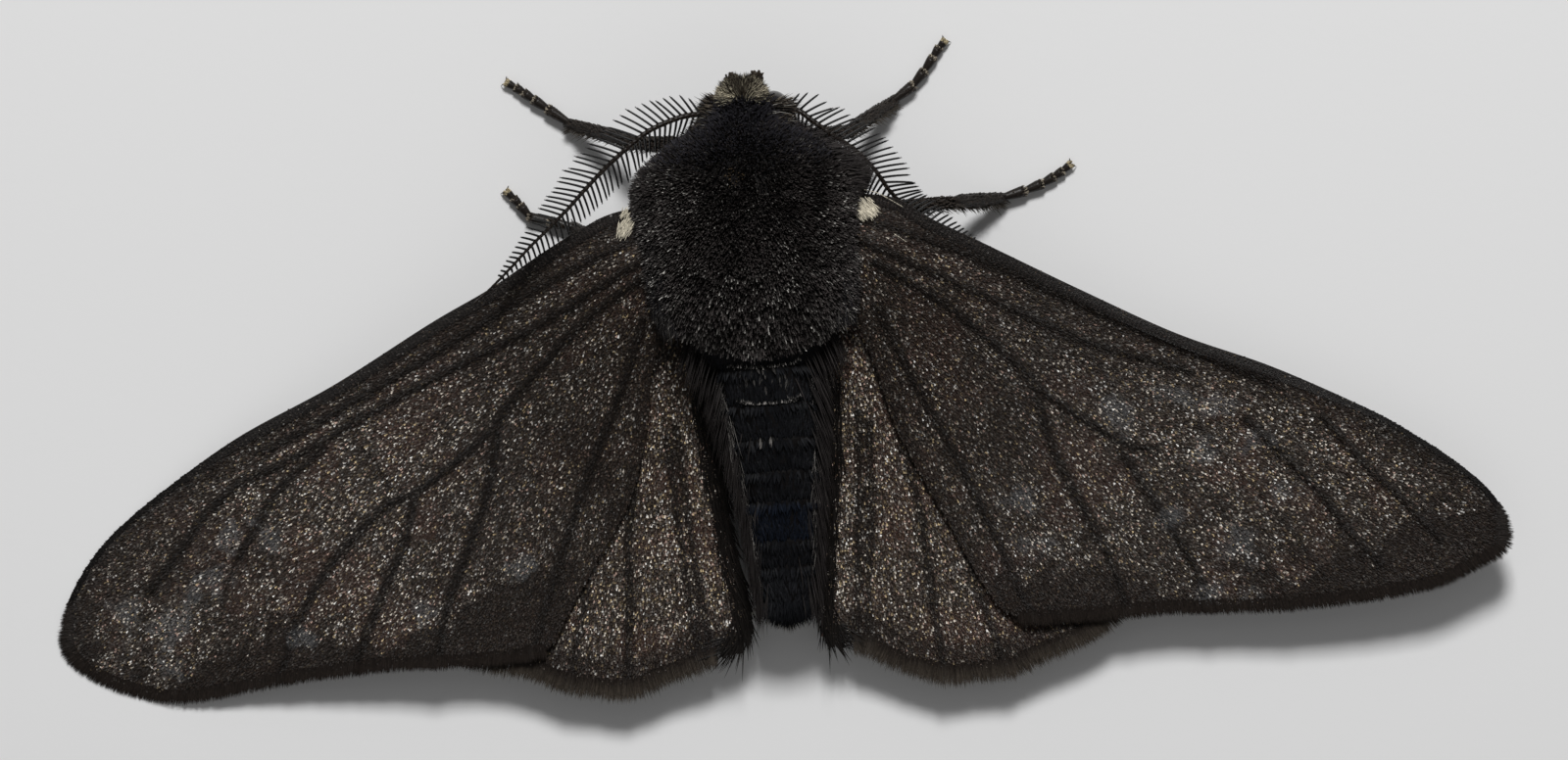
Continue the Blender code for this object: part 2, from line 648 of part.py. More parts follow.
def leg_line(pair, side):
    """Joints of one leg on the side that it stands."""
    joints = [Vector(p) for p in LEG_JOINTS[pair]]
    if side == LEFT and pair in LEFT_FEET:
        joints[2] = Vector(LEFT_KNEES[pair])
        joints[3:] = [Vector(p) for p in LEFT_FEET[pair]]
    return [Vector((side * p.x, p.y, p.z)) for p in joints]


def swept_tube(name, line, radii):
    """Swept tube through a row of points with a radius at each."""
    curve = bpy.data.curves.new(name, "CURVE")
    curve.dimensions = "3D"
    curve.bevel_depth = MM
    curve.bevel_resolution = 2
    curve.use_fill_caps = True
    spline = curve.splines.new("POLY")
    spline.points.add(len(line) - 1)
    for spot, place, radius in zip(spline.points, line, radii):
        spot.co = (*(place * MM), 1.0)
        spot.radius = radius
    swept = bpy.data.objects.new(name + "_sweep", curve)
    bpy.context.scene.collection.objects.link(swept)
    mesh = evaluated_mesh(swept)
    bpy.data.objects.remove(swept)
    work = bmesh.new()
    work.from_mesh(mesh)
    bmesh.ops.remove_doubles(work, verts=work.verts, dist=1e-6)
    bmesh.ops.recalc_face_normals(work, faces=work.faces)
    work.to_mesh(mesh)
    work.free()
    made = bpy.data.objects.new(name, mesh)
    bpy.context.scene.collection.objects.link(made)
    return made


def floor_cutter():
    """Slab below the floor, which leaves each foot a small flat."""
    bpy.ops.mesh.primitive_cube_add(size=1.0)
    slab = bpy.context.object
    slab.data.transform(Matrix.Diagonal((0.1, 0.1, 0.004, 1.0)))
    slab.data.transform(Matrix.Translation((0, 0, -0.002)))
    return slab


def leg_fringe(knee, ankle, side):
    """Short locks of hair that trail behind a tibia towards its ankle."""
    ahead = (ankle - knee).normalized()
    behind = Vector((ahead.y, -ahead.x, 0)).normalized() * side
    made = []
    for share in FRINGE_SHARES:
        foot = knee.lerp(ankle, share) + Vector((0, 0, 0.03))
        path = [foot + behind * FRINGE_LENGTH * out + ahead * FRINGE_LENGTH * on
                for out, on in ((0.05, 0.0), (0.32, 0.25), (0.5, 0.62), (0.55, 1.0))]
        made.append(lock("fringe", path, [Vector((0, 0, 1))] * 3, FRINGE_WIDTH, FRINGE_THICK))
    return made


def claws(ankle, claw):
    """Two small hooked claws at the end of a foot."""
    ahead = Vector((claw.x - ankle.x, claw.y - ankle.y, 0)).normalized()
    across = Vector((ahead.y, -ahead.x, 0))
    made = []
    for way in (1, -1):
        path = [claw + ahead * CLAW_LENGTH * on + across * way * CLAW_LENGTH * out + Vector((0, 0, down))
                for on, out, down in ((-0.5, 0.1, 0), (0.2, 0.3, 0.02), (0.65, 0.5, -0.02), (1, 0.6, -0.1))]
        made.append(lock("claw", path, [Vector((0, 0, 1))] * 3, CLAW_THICK, CLAW_THICK))
    return made


def build_leg(pair, side):
    coxa, trochanter, knee, ankle, claw = leg_line(pair, side)
    line = [coxa, coxa.lerp(trochanter, 0.7), trochanter]
    radii = [COXA_RADIUS, COXA_RADIUS, FEMUR_RADIUS]
    for share, size in ((0.25, 1.15), (0.6, 1.1), (0.93, 0.85)):
        line.append(trochanter.lerp(knee, share))
        radii.append(FEMUR_RADIUS * size)
    for share, size in ((0.06, 0.95), (0.35, 1.1), (0.75, 1.0), (0.95, 0.9)):
        line.append(knee.lerp(ankle, share))
        radii.append(TIBIA_RADIUS * size)
    for joint in range(TARSUS_JOINTS):
        for share, size in ((0.12, 0.85), (0.8, 1.05)):
            line.append(ankle.lerp(claw, (joint + share) / TARSUS_JOINTS))
            radii.append(TARSUS_RADIUS * size)
    line.append(claw)
    radii.append(TARSUS_RADIUS * 0.5)
    leg = swept_tube("leg_" + pair + "_" + SIDE_NAMES[side], line, radii)
    boolean(leg, leg_fringe(knee, ankle, side) + claws(ankle, claw), "UNION")
    boolean(leg, [thorax_clearance(), floor_cutter()], "DIFFERENCE")
    return leg


def finish(parts):
    """Gives the parts their materials and sets them under one empty that puts the origin mid-box."""
    holder = bpy.data.objects.new(NAME, None)
    bpy.context.scene.collection.objects.link(holder)
    home = bpy.data.collections.new(NAME)
    bpy.context.scene.collection.children.link(home)
    holder.location = (-MIDDLE_OF_BOX[0] * MM, -MIDDLE_OF_BOX[1] * MM, 0)
    finishes = {name: material(name) for name in COLOURS}
    for part, finish_name in parts:
        for old in list(part.users_collection):
            old.objects.unlink(part)
        home.objects.link(part)
        part.parent = holder
        part.data.materials.clear()
        part.data.materials.append(finishes[finish_name])
        part.data.shade_smooth()
        sharp = SHARP_DEGREES.get(finish_name, SHARP_ELSEWHERE)
        part.data.set_sharp_from_angle(angle=math.radians(sharp))


def main():
    clear_scene()
    draw = random.Random(SEED)
    parts = [(build_thorax(draw), "coat"), (build_head(draw), "coat"), (build_abdomen(draw), "coat")]
    for side in SIDE_NAMES:
        parts.append((build_eye(side), "eye"))
        parts.append((build_antenna(side, draw), "antenna"))
        parts.append((build_forewing(side), "wing"))
        parts.append((build_hindwing(side), "wing"))
        for pair in LEG_JOINTS:
            parts.append((build_leg(pair, side), "leg"))
    finish(parts)


main()
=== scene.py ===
import math
import bmesh
import bpy
import numpy as np
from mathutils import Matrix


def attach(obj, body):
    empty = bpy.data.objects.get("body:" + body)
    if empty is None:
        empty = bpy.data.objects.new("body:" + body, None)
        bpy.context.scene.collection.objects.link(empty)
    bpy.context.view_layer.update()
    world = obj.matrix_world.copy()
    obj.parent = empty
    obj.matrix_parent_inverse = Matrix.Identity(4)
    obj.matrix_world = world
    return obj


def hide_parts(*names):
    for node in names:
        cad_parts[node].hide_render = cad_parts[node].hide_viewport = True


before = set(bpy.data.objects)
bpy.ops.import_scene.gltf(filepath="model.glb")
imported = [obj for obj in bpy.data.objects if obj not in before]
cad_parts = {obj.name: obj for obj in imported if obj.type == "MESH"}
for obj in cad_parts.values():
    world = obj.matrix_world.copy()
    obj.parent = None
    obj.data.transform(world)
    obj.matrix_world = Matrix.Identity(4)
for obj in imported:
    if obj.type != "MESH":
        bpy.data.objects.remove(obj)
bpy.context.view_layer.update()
print("frame loaded:", len(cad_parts), "nodes")

# Lengths are millimetres in the moth's own frame: x to its right, y to its head, z up from its feet.
mm = 0.001
mothMiddle = np.array((0.17, -4.7, 0.0))  # the middle of the model's box in the moth's own frame
patchSize = 0.003  # one scale or hair on the unwrap
floorGap = 0.012  # nothing reaches lower than this


def unit(rows):
    return rows / np.maximum(np.linalg.norm(rows, axis=-1, keepdims=True), 1e-9)


def ease(value, low, high):
    share = np.clip((value - low) / (high - low), 0.0, 1.0)
    return share * share * (3 - 2 * share)


def linear(code):
    values = np.array([int(code[i:i + 2], 16) for i in (1, 3, 5)]) / 255
    return np.where(values <= 0.04045, values / 12.92, ((values + 0.055) / 1.055) ** 2.4)


def smoothLine(points, count):
    # A smooth curve through the points, cut into even steps
    points = np.asarray(points, float)
    ends = np.vstack((2 * points[0] - points[1], points, 2 * points[-1] - points[-2]))
    shares = np.linspace(0, 1, 24, endpoint=False)[:, None]
    runs = []
    for a, b, c, d in zip(ends, ends[1:], ends[2:], ends[3:]):
        runs.append(0.5 * (2 * b + (c - a) * shares + (2 * a - 5 * b + 4 * c - d) * shares ** 2
                           + (3 * b - a - 3 * c + d) * shares ** 3))
    fine = np.vstack(runs + [points[-1:]])
    length = np.concatenate(([0], np.cumsum(np.linalg.norm(np.diff(fine, axis=0), axis=1))))
    at = np.linspace(0, length[-1], count)
    return np.stack([np.interp(at, length, fine[:, k]) for k in range(fine.shape[1])], 1)


def lengthOf(line):
    return np.linalg.norm(np.diff(line, axis=0), axis=1).sum()


def alongLine(line, at):
    # Places between a line's points, and the number of the point before each
    cell = at.astype(int)
    return line[cell] + (line[cell + 1] - line[cell]) * (at - cell)[:, None], cell


def awayFrom(places, line):
    # Distance in plan from each place to a line
    best = np.full(len(places), 1e9)
    for a, b in zip(line, line[1:]):
        run = b - a
        share = np.clip((places - a) @ run / max(run @ run, 1e-12), 0, 1)
        best = np.minimum(best, np.hypot(*(places - a - share[:, None] * run).T))
    return best


def insideOf(places, outline):
    hit = np.zeros(len(places), bool)
    for a, b in zip(outline, np.roll(outline, -1, 0)):
        if a[1] != b[1]:
            crosses = (a[1] > places[:, 1]) != (b[1] > places[:, 1])
            edge = (b[0] - a[0]) * (places[:, 1] - a[1]) / (b[1] - a[1]) + a[0]
            hit ^= crosses & (places[:, 0] < edge)
    return hit


def blended(a, b, c, d, part):
    # Between the values at the four corners of a grid's cell
    low = a * (1 - part[:, 0]) + b * part[:, 0]
    high = c * (1 - part[:, 0]) + d * part[:, 0]
    return low * (1 - part[:, 1]) + high * part[:, 1]


def cloud(places, size, seed):
    # Soft random patches of one size, from 0 to 1
    cells, shift = 64, 97.3
    table = np.random.default_rng(seed).random((cells, cells))
    at = np.asarray(places) / size + shift
    cell = np.floor(at).astype(int)
    part = at - cell
    part = part * part * (3 - 2 * part)
    x, y = (cell % cells).T
    right, up = (x + 1) % cells, (y + 1) % cells
    return blended(table[x, y], table[right, y], table[x, up], table[right, up], part)


def uneven(random, count, spread=0.3, least=0.4, most=1.9):
    # A factor about 1 for each scale or hair
    return random.normal(1, spread, count).clip(least, most)


def mixed(first, second, share):
    # From the first tint to the second by each row's share
    return first + (second - first) * np.reshape(share, (-1, 1))


def column(value, count):
    return np.broadcast_to(np.asarray(value, float), (count,))[:, None]


def repeated(faces, count, step):
    return (np.asarray(faces)[None] + (np.arange(count) * step)[:, None, None]).reshape(-1, len(faces[0]))


def tinted(rootTint, tipTint, shares, count):
    rootTint = np.broadcast_to(rootTint, (count, 3))[:, None]
    tipTint = np.broadcast_to(tipTint, (count, 3))[:, None]
    return (rootTint + (tipTint - rootTint) * shares[None, :, None]).reshape(-1, 3)


def patches(spots, across, shares):
    # Each scale or hair lies on the unwrap at its root's place
    local = np.stack((across, shares), 1) * patchSize
    return (spots[:, None] + local[None]).reshape(-1, 2)


def flakes(root, along, up, length, width, spots, rootTint, tipTint, thick=0.22):
    # Flat scales: narrow at the root, widest at the end, arched along the middle
    count = len(root)
    along = unit(along)
    side = unit(np.cross(along, up))
    over = np.cross(side, along)
    length, half = column(length, count), column(width, count) / 2
    end = root + along * length
    points = np.stack((root, end - side * half, end + side * half,
                       end + along * length * 0.08 + over * half * 2 * thick), 1)
    tris = repeated([(0, 2, 3), (0, 3, 1), (0, 1, 2), (1, 3, 2)], count, 4)
    shares, across = np.array((0, 1, 1, 1.0)), np.array((0, -0.5, 0.5, 0))
    return {"points": points.reshape(-1, 3), "tris": tris, "map": patches(spots, across, shares),
            "tint": tinted(rootTint, tipTint, shares, count)}


def hairs(root, along, up, length, width, spots, rootTint, tipTint, bend=0.0, sway=0.0,
          rings=(0.7, 1.0), thick=0.35):
    # Tapered hairs of three sides, bent over their length
    count, steps = len(root), len(rings)
    along = unit(along)
    side = unit(np.cross(along, up))
    over = np.cross(side, along)
    length, width = column(length, count), column(width, count)
    bend, sway = column(bend, count), column(sway, count)
    points = np.empty((count, steps * 3 + 1, 3))
    for number in range(steps + 1):
        share = number / steps
        middle = root + length * (along * share + (over * bend + side * sway) * share ** 2)
        if number == steps:
            points[:, -1] = middle
            break
        half = width * rings[number] / 2
        points[:, 3 * number] = middle - side * half
        points[:, 3 * number + 1] = middle + side * half
        points[:, 3 * number + 2] = middle + over * half * 2 * thick
    quads, tris = [], [(0, 1, 2)]
    for a in range(0, 3 * (steps - 1), 3):
        quads += [(a, a + 3, a + 4, a + 1), (a + 1, a + 4, a + 5, a + 2), (a + 2, a + 5, a + 3, a)]
    a, tip = 3 * (steps - 1), 3 * steps
    tris += [(a, tip, a + 1), (a + 1, tip, a + 2), (a + 2, tip, a)]
    shares = np.append(np.repeat(np.arange(steps) / steps, 3), 1.0)
    across = np.append(np.tile((-0.5, 0.5, 0), steps), 0.0)
    block = {"points": points.reshape(-1, 3), "tris": repeated(tris, count, tip + 1),
             "map": patches(spots, across, shares), "tint": tinted(rootTint, tipTint, shares, count)}
    if quads:
        block["quads"] = repeated(quads, count, tip + 1)
    return block


def ringFaces(rings, sides):
    # Faces between rings of points, closed by one more point at each end
    a = np.arange(sides)
    b = (a + 1) % sides
    rows = np.arange(rings - 1)[:, None] * sides
    quads = np.stack((rows + a, rows + b, rows + b + sides, rows + a + sides), 2).reshape(-1, 4)
    total = rings * sides
    last = total - sides
    tris = np.vstack((np.stack((b, a, np.full(sides, total)), 1),
                      np.stack((last + a, last + b, np.full(sides, total + 1)), 1)))
    return quads, tris


def tube(line, radii, sides, tint, lean=(0, 0, 1.0)):
    # A round body along a line, closed to a point at both ends
    line, radii = np.asarray(line, float), np.asarray(radii, float)
    along = unit(np.gradient(line, axis=0))
    side = unit(np.cross(along, np.broadcast_to(lean, line.shape)))
    over = np.cross(side, along)
    turn = np.linspace(0, 2 * np.pi, sides, endpoint=False)
    ring = side[:, None] * np.cos(turn)[None, :, None] + over[:, None] * np.sin(turn)[None, :, None]
    points = (line[:, None] + ring * radii[:, None, None]).reshape(-1, 3)
    first = line[:1] - along[:1] * radii[0] * 0.3
    last = line[-1:] + along[-1:] * radii[-1] * 0.3
    count = len(line)
    quads, tris = ringFaces(count, sides)
    places = np.stack(np.meshgrid(np.arange(count) / count, turn / 7, indexing="ij"), 2).reshape(-1, 2)
    tint = np.broadcast_to(tint, (count, 3))
    return {"points": np.vstack((points, first, last)), "quads": quads, "tris": tris,
            "map": np.vstack((places, places[:1], places[-1:])),
            "tint": np.vstack((np.repeat(tint, sides, 0), tint[:1], tint[-1:]))}


def joined(blocks):
    whole = {"points": [], "quads": [], "tris": [], "map": [], "tint": []}
    start = 0
    for block in blocks:
        for key in ("quads", "tris"):
            if key in block:
                whole[key].append(block[key] + start)
        for key in ("points", "map", "tint"):
            whole[key].append(block[key])
        start += len(block["points"])
    return {key: np.vstack(rows) for key, rows in whole.items() if rows}


def addPiece(name, block, material, replaced=(), smooth=True):
    faces = [block[key].astype(np.int32) for key in ("quads", "tris") if key in block]
    sides = np.concatenate([np.full(len(rows), rows.shape[1], np.int32) for rows in faces])
    corners = np.concatenate([rows.ravel() for rows in faces])
    block["points"][:, 2] = np.maximum(block["points"][:, 2], floorGap)
    mesh = bpy.data.meshes.new(name)
    mesh.vertices.add(len(block["points"]))
    mesh.vertices.foreach_set("co", ((block["points"] - mothMiddle) * mm).astype(np.float32).ravel())
    mesh.loops.add(len(corners))
    mesh.loops.foreach_set("vertex_index", corners)
    mesh.polygons.add(len(sides))
    mesh.polygons.foreach_set("loop_start", np.concatenate(([0], np.cumsum(sides)[:-1])).astype(np.int32))
    mesh.polygons.foreach_set("use_smooth", np.full(len(sides), smooth))
    mesh.uv_layers.new(name="OFBake")
    mesh.uv_layers["OFBake"].uv.foreach_set("vector", block["map"][corners].astype(np.float32).ravel())
    tint = mesh.color_attributes.new("tint", "FLOAT_COLOR", "POINT")
    colours = np.ones((len(block["points"]), 4), np.float32)
    colours[:, :3] = block["tint"]
    tint.data.foreach_set("color", colours.ravel())
    mesh.materials.append(material)
    mesh.update(calc_edges=True)
    piece = bpy.data.objects.new(name, mesh)
    bpy.context.scene.collection.objects.link(piece)
    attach(piece, "root")
    if replaced:
        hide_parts(*replaced)
    print(name, int((sides - 2).sum()), "triangles")
    return piece


# Materials

def perMetre(size):
    return 1 / (size * mm)


def addNode(tree, kind, settings=None, links=None):
    node = tree.nodes.new(kind)
    for key, value in (settings or {}).items():
        if isinstance(key, int) or key in node.inputs:
            node.inputs[key].default_value = value
        else:
            setattr(node, key, value)
    for key, source in (links or {}).items():
        tree.links.new(source, node.inputs[key])
    return node


def newMaterial(name):
    material = bpy.data.materials.new(name)
    material.use_nodes = True
    tree = material.node_tree
    tree.nodes.clear()
    return material, tree


def tintedMaterial(name, look):
    # A coat's colour comes from each scale's own tint, broken by a fine grain
    material, tree = newMaterial(name)
    place = addNode(tree, "ShaderNodeTexCoord")
    tint = addNode(tree, "ShaderNodeAttribute", {"attribute_name": "tint"})
    grain = addNode(tree, "ShaderNodeTexNoise", {"Scale": perMetre(look["grain"]), "Detail": 3.0},
                    {"Vector": place.outputs["Object"]})
    spread = addNode(tree, "ShaderNodeMapRange",
                     {"From Min": 0.3, "From Max": 0.7, "To Min": 1 - look["uneven"],
                      "To Max": 1 + look["uneven"]},
                     {"Value": grain.outputs[0]})
    colour = addNode(tree, "ShaderNodeVectorMath", {"operation": "SCALE"},
                     {0: tint.outputs["Color"], "Scale": spread.outputs[0]})
    rough = addNode(tree, "ShaderNodeMapRange",
                    {"To Min": look["roughness"] - 0.08, "To Max": look["roughness"] + 0.08},
                    {"Value": grain.outputs[0]})
    bump = addNode(tree, "ShaderNodeBump", {"Strength": look["bump"], "Distance": look["grain"] * mm * 0.5},
                   {"Height": grain.outputs[0]})
    shader = addNode(tree, "ShaderNodeBsdfPrincipled",
                     {"IOR": chitin, "Specular IOR Level": look["specular"]},
                     {"Base Color": colour.outputs[0], "Roughness": rough.outputs[0],
                      "Normal": bump.outputs[0]})
    addNode(tree, "ShaderNodeOutputMaterial", None, {"Surface": shader.outputs[0]})
    return material


chitin = 1.56  # refractive index of insect cuticle, of which scales, hair and horn all are
# A wing scale is ribbed along its length, so it is matt with small silky glints
scaleLook = {"grain": 0.06, "uneven": 0.25, "roughness": 0.5, "bump": 0.3, "specular": 0.12}
# Hair scales stand on end and swallow light
furLook = {"grain": 0.05, "uneven": 0.3, "roughness": 0.6, "bump": 0.2, "specular": 0.08}
# Bare horny cuticle is smoother and glossier than the scales on it
hornLook = {"grain": 0.04, "uneven": 0.25, "roughness": 0.38, "bump": 0.4, "specular": 0.2}
wingScale = tintedMaterial("chitin wing scales, ribbed", scaleLook)
furScale = tintedMaterial("chitin hair scales, velvety", furLook)
hornCuticle = tintedMaterial("chitin cuticle, bare and horny", hornLook)

eyeLook = {"facet": 0.05, "dark": "#0d0a08", "brown": "#2c2018", "roughness": 0.16}


def corneaMaterial():
    # Cornea is clear chitin over dark pigment: a hard gloss broken up by its facets
    material, tree = newMaterial("compound eye cornea, faceted")
    place = addNode(tree, "ShaderNodeTexCoord")
    facets = addNode(tree, "ShaderNodeTexVoronoi", {"Scale": perMetre(eyeLook["facet"]), "Randomness": 0.35},
                     {"Vector": place.outputs["Object"]})
    ramp = addNode(tree, "ShaderNodeMapRange", {"From Max": 0.6, "To Min": 1.0, "To Max": 0.0},
                   {"Value": facets.outputs["Distance"]})
    colour = addNode(tree, "ShaderNodeMix", {"data_type": "RGBA", 6: (*linear(eyeLook["dark"]), 1),
                                             7: (*linear(eyeLook["brown"]), 1)}, {0: ramp.outputs[0]})
    bump = addNode(tree, "ShaderNodeBump", {"Strength": 0.5, "Distance": 0.01 * mm},
                   {"Height": ramp.outputs[0]})
    shader = addNode(tree, "ShaderNodeBsdfPrincipled",
                     {"IOR": chitin, "Roughness": eyeLook["roughness"], "Coat Weight": 0.4,
                      "Coat Roughness": 0.08},
                     {"Base Color": colour.outputs[2], "Normal": bump.outputs[0]})
    addNode(tree, "ShaderNodeOutputMaterial", None, {"Surface": shader.outputs[0]})
    return material


cornea = corneaMaterial()

# Wings

wingForm = {"root": (3.6, -0.5), "rise": 3.6, "rear": 1.65, "fall": 6.0, "fallPower": 1.3,
            "tipBegins": 11.0, "tipEnds": 24.5, "tipHeight": {1: 2.1, -1: 0.1}, "hindStep": 0.55,
            "lowest": 0.25, "inSheet": {"fore": -0.2, "hind": 0.1}, "membrane": 0.05, "rim": 0.012,
            "veinRise": 0.05, "veinWidth": 0.13, "cellSag": 0.035, "cellSlope": 0.9, "costaRise": 0.14,
            "costaWidth": 0.35, "waveHeight": 0.05, "waveSize": 2.2, "fan": (-1.6, 1.4),
            "fanBegins": -0.35, "fanTurn": 0.5}
forewingVeins = (
    ((3.6, 0.3), (7.4, -1.3), (11, -3.2), (14.6, -5), (17.2, -6.2)),
    ((3.9, -1.2), (6.0, -2.6), (8.4, -4.8), (9.4, -6.0), (11.9, -7.8), (13.0, -8.2)),
    ((9.0, -5.5), (9.6, -8.0), (10.55, -10.2), (11.35, -12.0), (11.8, -13.8)),
    ((3.9, -2.6), (4.8, -4.8), (6.0, -7.3), (7.1, -9.9), (8.0, -12.2), (8.5, -13.6)))
rightVeins = (((3.6, -0.5), (7.6, -2.6), (11, -4.4), (14.4, -5.6)),
              ((11.9, -8.2), (12.85, -9.87), (13.51, -11.08), (14.07, -12.18), (14.5, -13.8)),
              ((16.2, -7.4), (17.0, -8.25), (18.28, -9.72), (19.34, -11.28), (20.41, -12.62)),
              ((18.8, -7.5), (19.53, -8.42), (20.21, -9.32), (21.2, -10.34), (22.47, -11.92)))
rightFaint = (((13.4, -8.4), (14.68, -9.57), (15.54, -10.9), (16.32, -11.91), (16.9, -12.8), (17.3, -13.8)),
              ((14.4, -7.3), (16.1, -9.4), (17.5, -11.3), (18.6, -13.0)))
leftVeins = (((3.6, -0.5), (7.6, -2.6), (11, -4.0), (14.46, -5.57), (15.79, -6.34), (17.22, -6.88),
              (18.42, -7.33), (19.68, -8.52), (20.62, -9.73), (21.43, -10.64)),
             ((15.14, -6.17), (16.72, -7.45), (17.43, -8.46), (18.27, -9.69)),
             ((13.0, -8.15), (14.75, -9.72), (15.8, -11.03), (16.53, -12.26), (17.16, -13.8)),
             ((12.1, -8.0), (12.61, -9.65), (13.22, -10.79), (14.6, -13.6)))
leftFaint = (((17.3, -11.14), (18.27, -12.78), (18.77, -13.81)), ((12.89, -7.7), (13.2, -7.0), (13.8, -6.2)),
             ((21.4, -8.9), (22.2, -9.8), (22.9, -10.7)), ((18.27, -9.69), (18.8, -10.7), (19.0, -11.5)),
             ((21.43, -10.64), (21.8, -11.3), (22.0, -12.0)))
hindwingVeins = (
    ((2.9, -3.5), (6, -6.4), (9.4, -9.7), (12, -12.6)),
    ((4.5, -7.4), (4.95, -9.8), (5.1, -12), (5.4, -15.3)),
    ((6.4, -11.2), (6.9, -13.0), (7.5, -15.3)),
    ((3.1, -6.2), (2.95, -9), (2.7, -12), (2.45, -14.4)),
    ((3.4, -6.6), (3.28, -9.2), (3.05, -12), (2.85, -14.5)))
hindwingFront = ((2.2, -2.6), (4.6, -4.3), (8, -7.3), (11.2, -10.2), (12.7, -12.4))
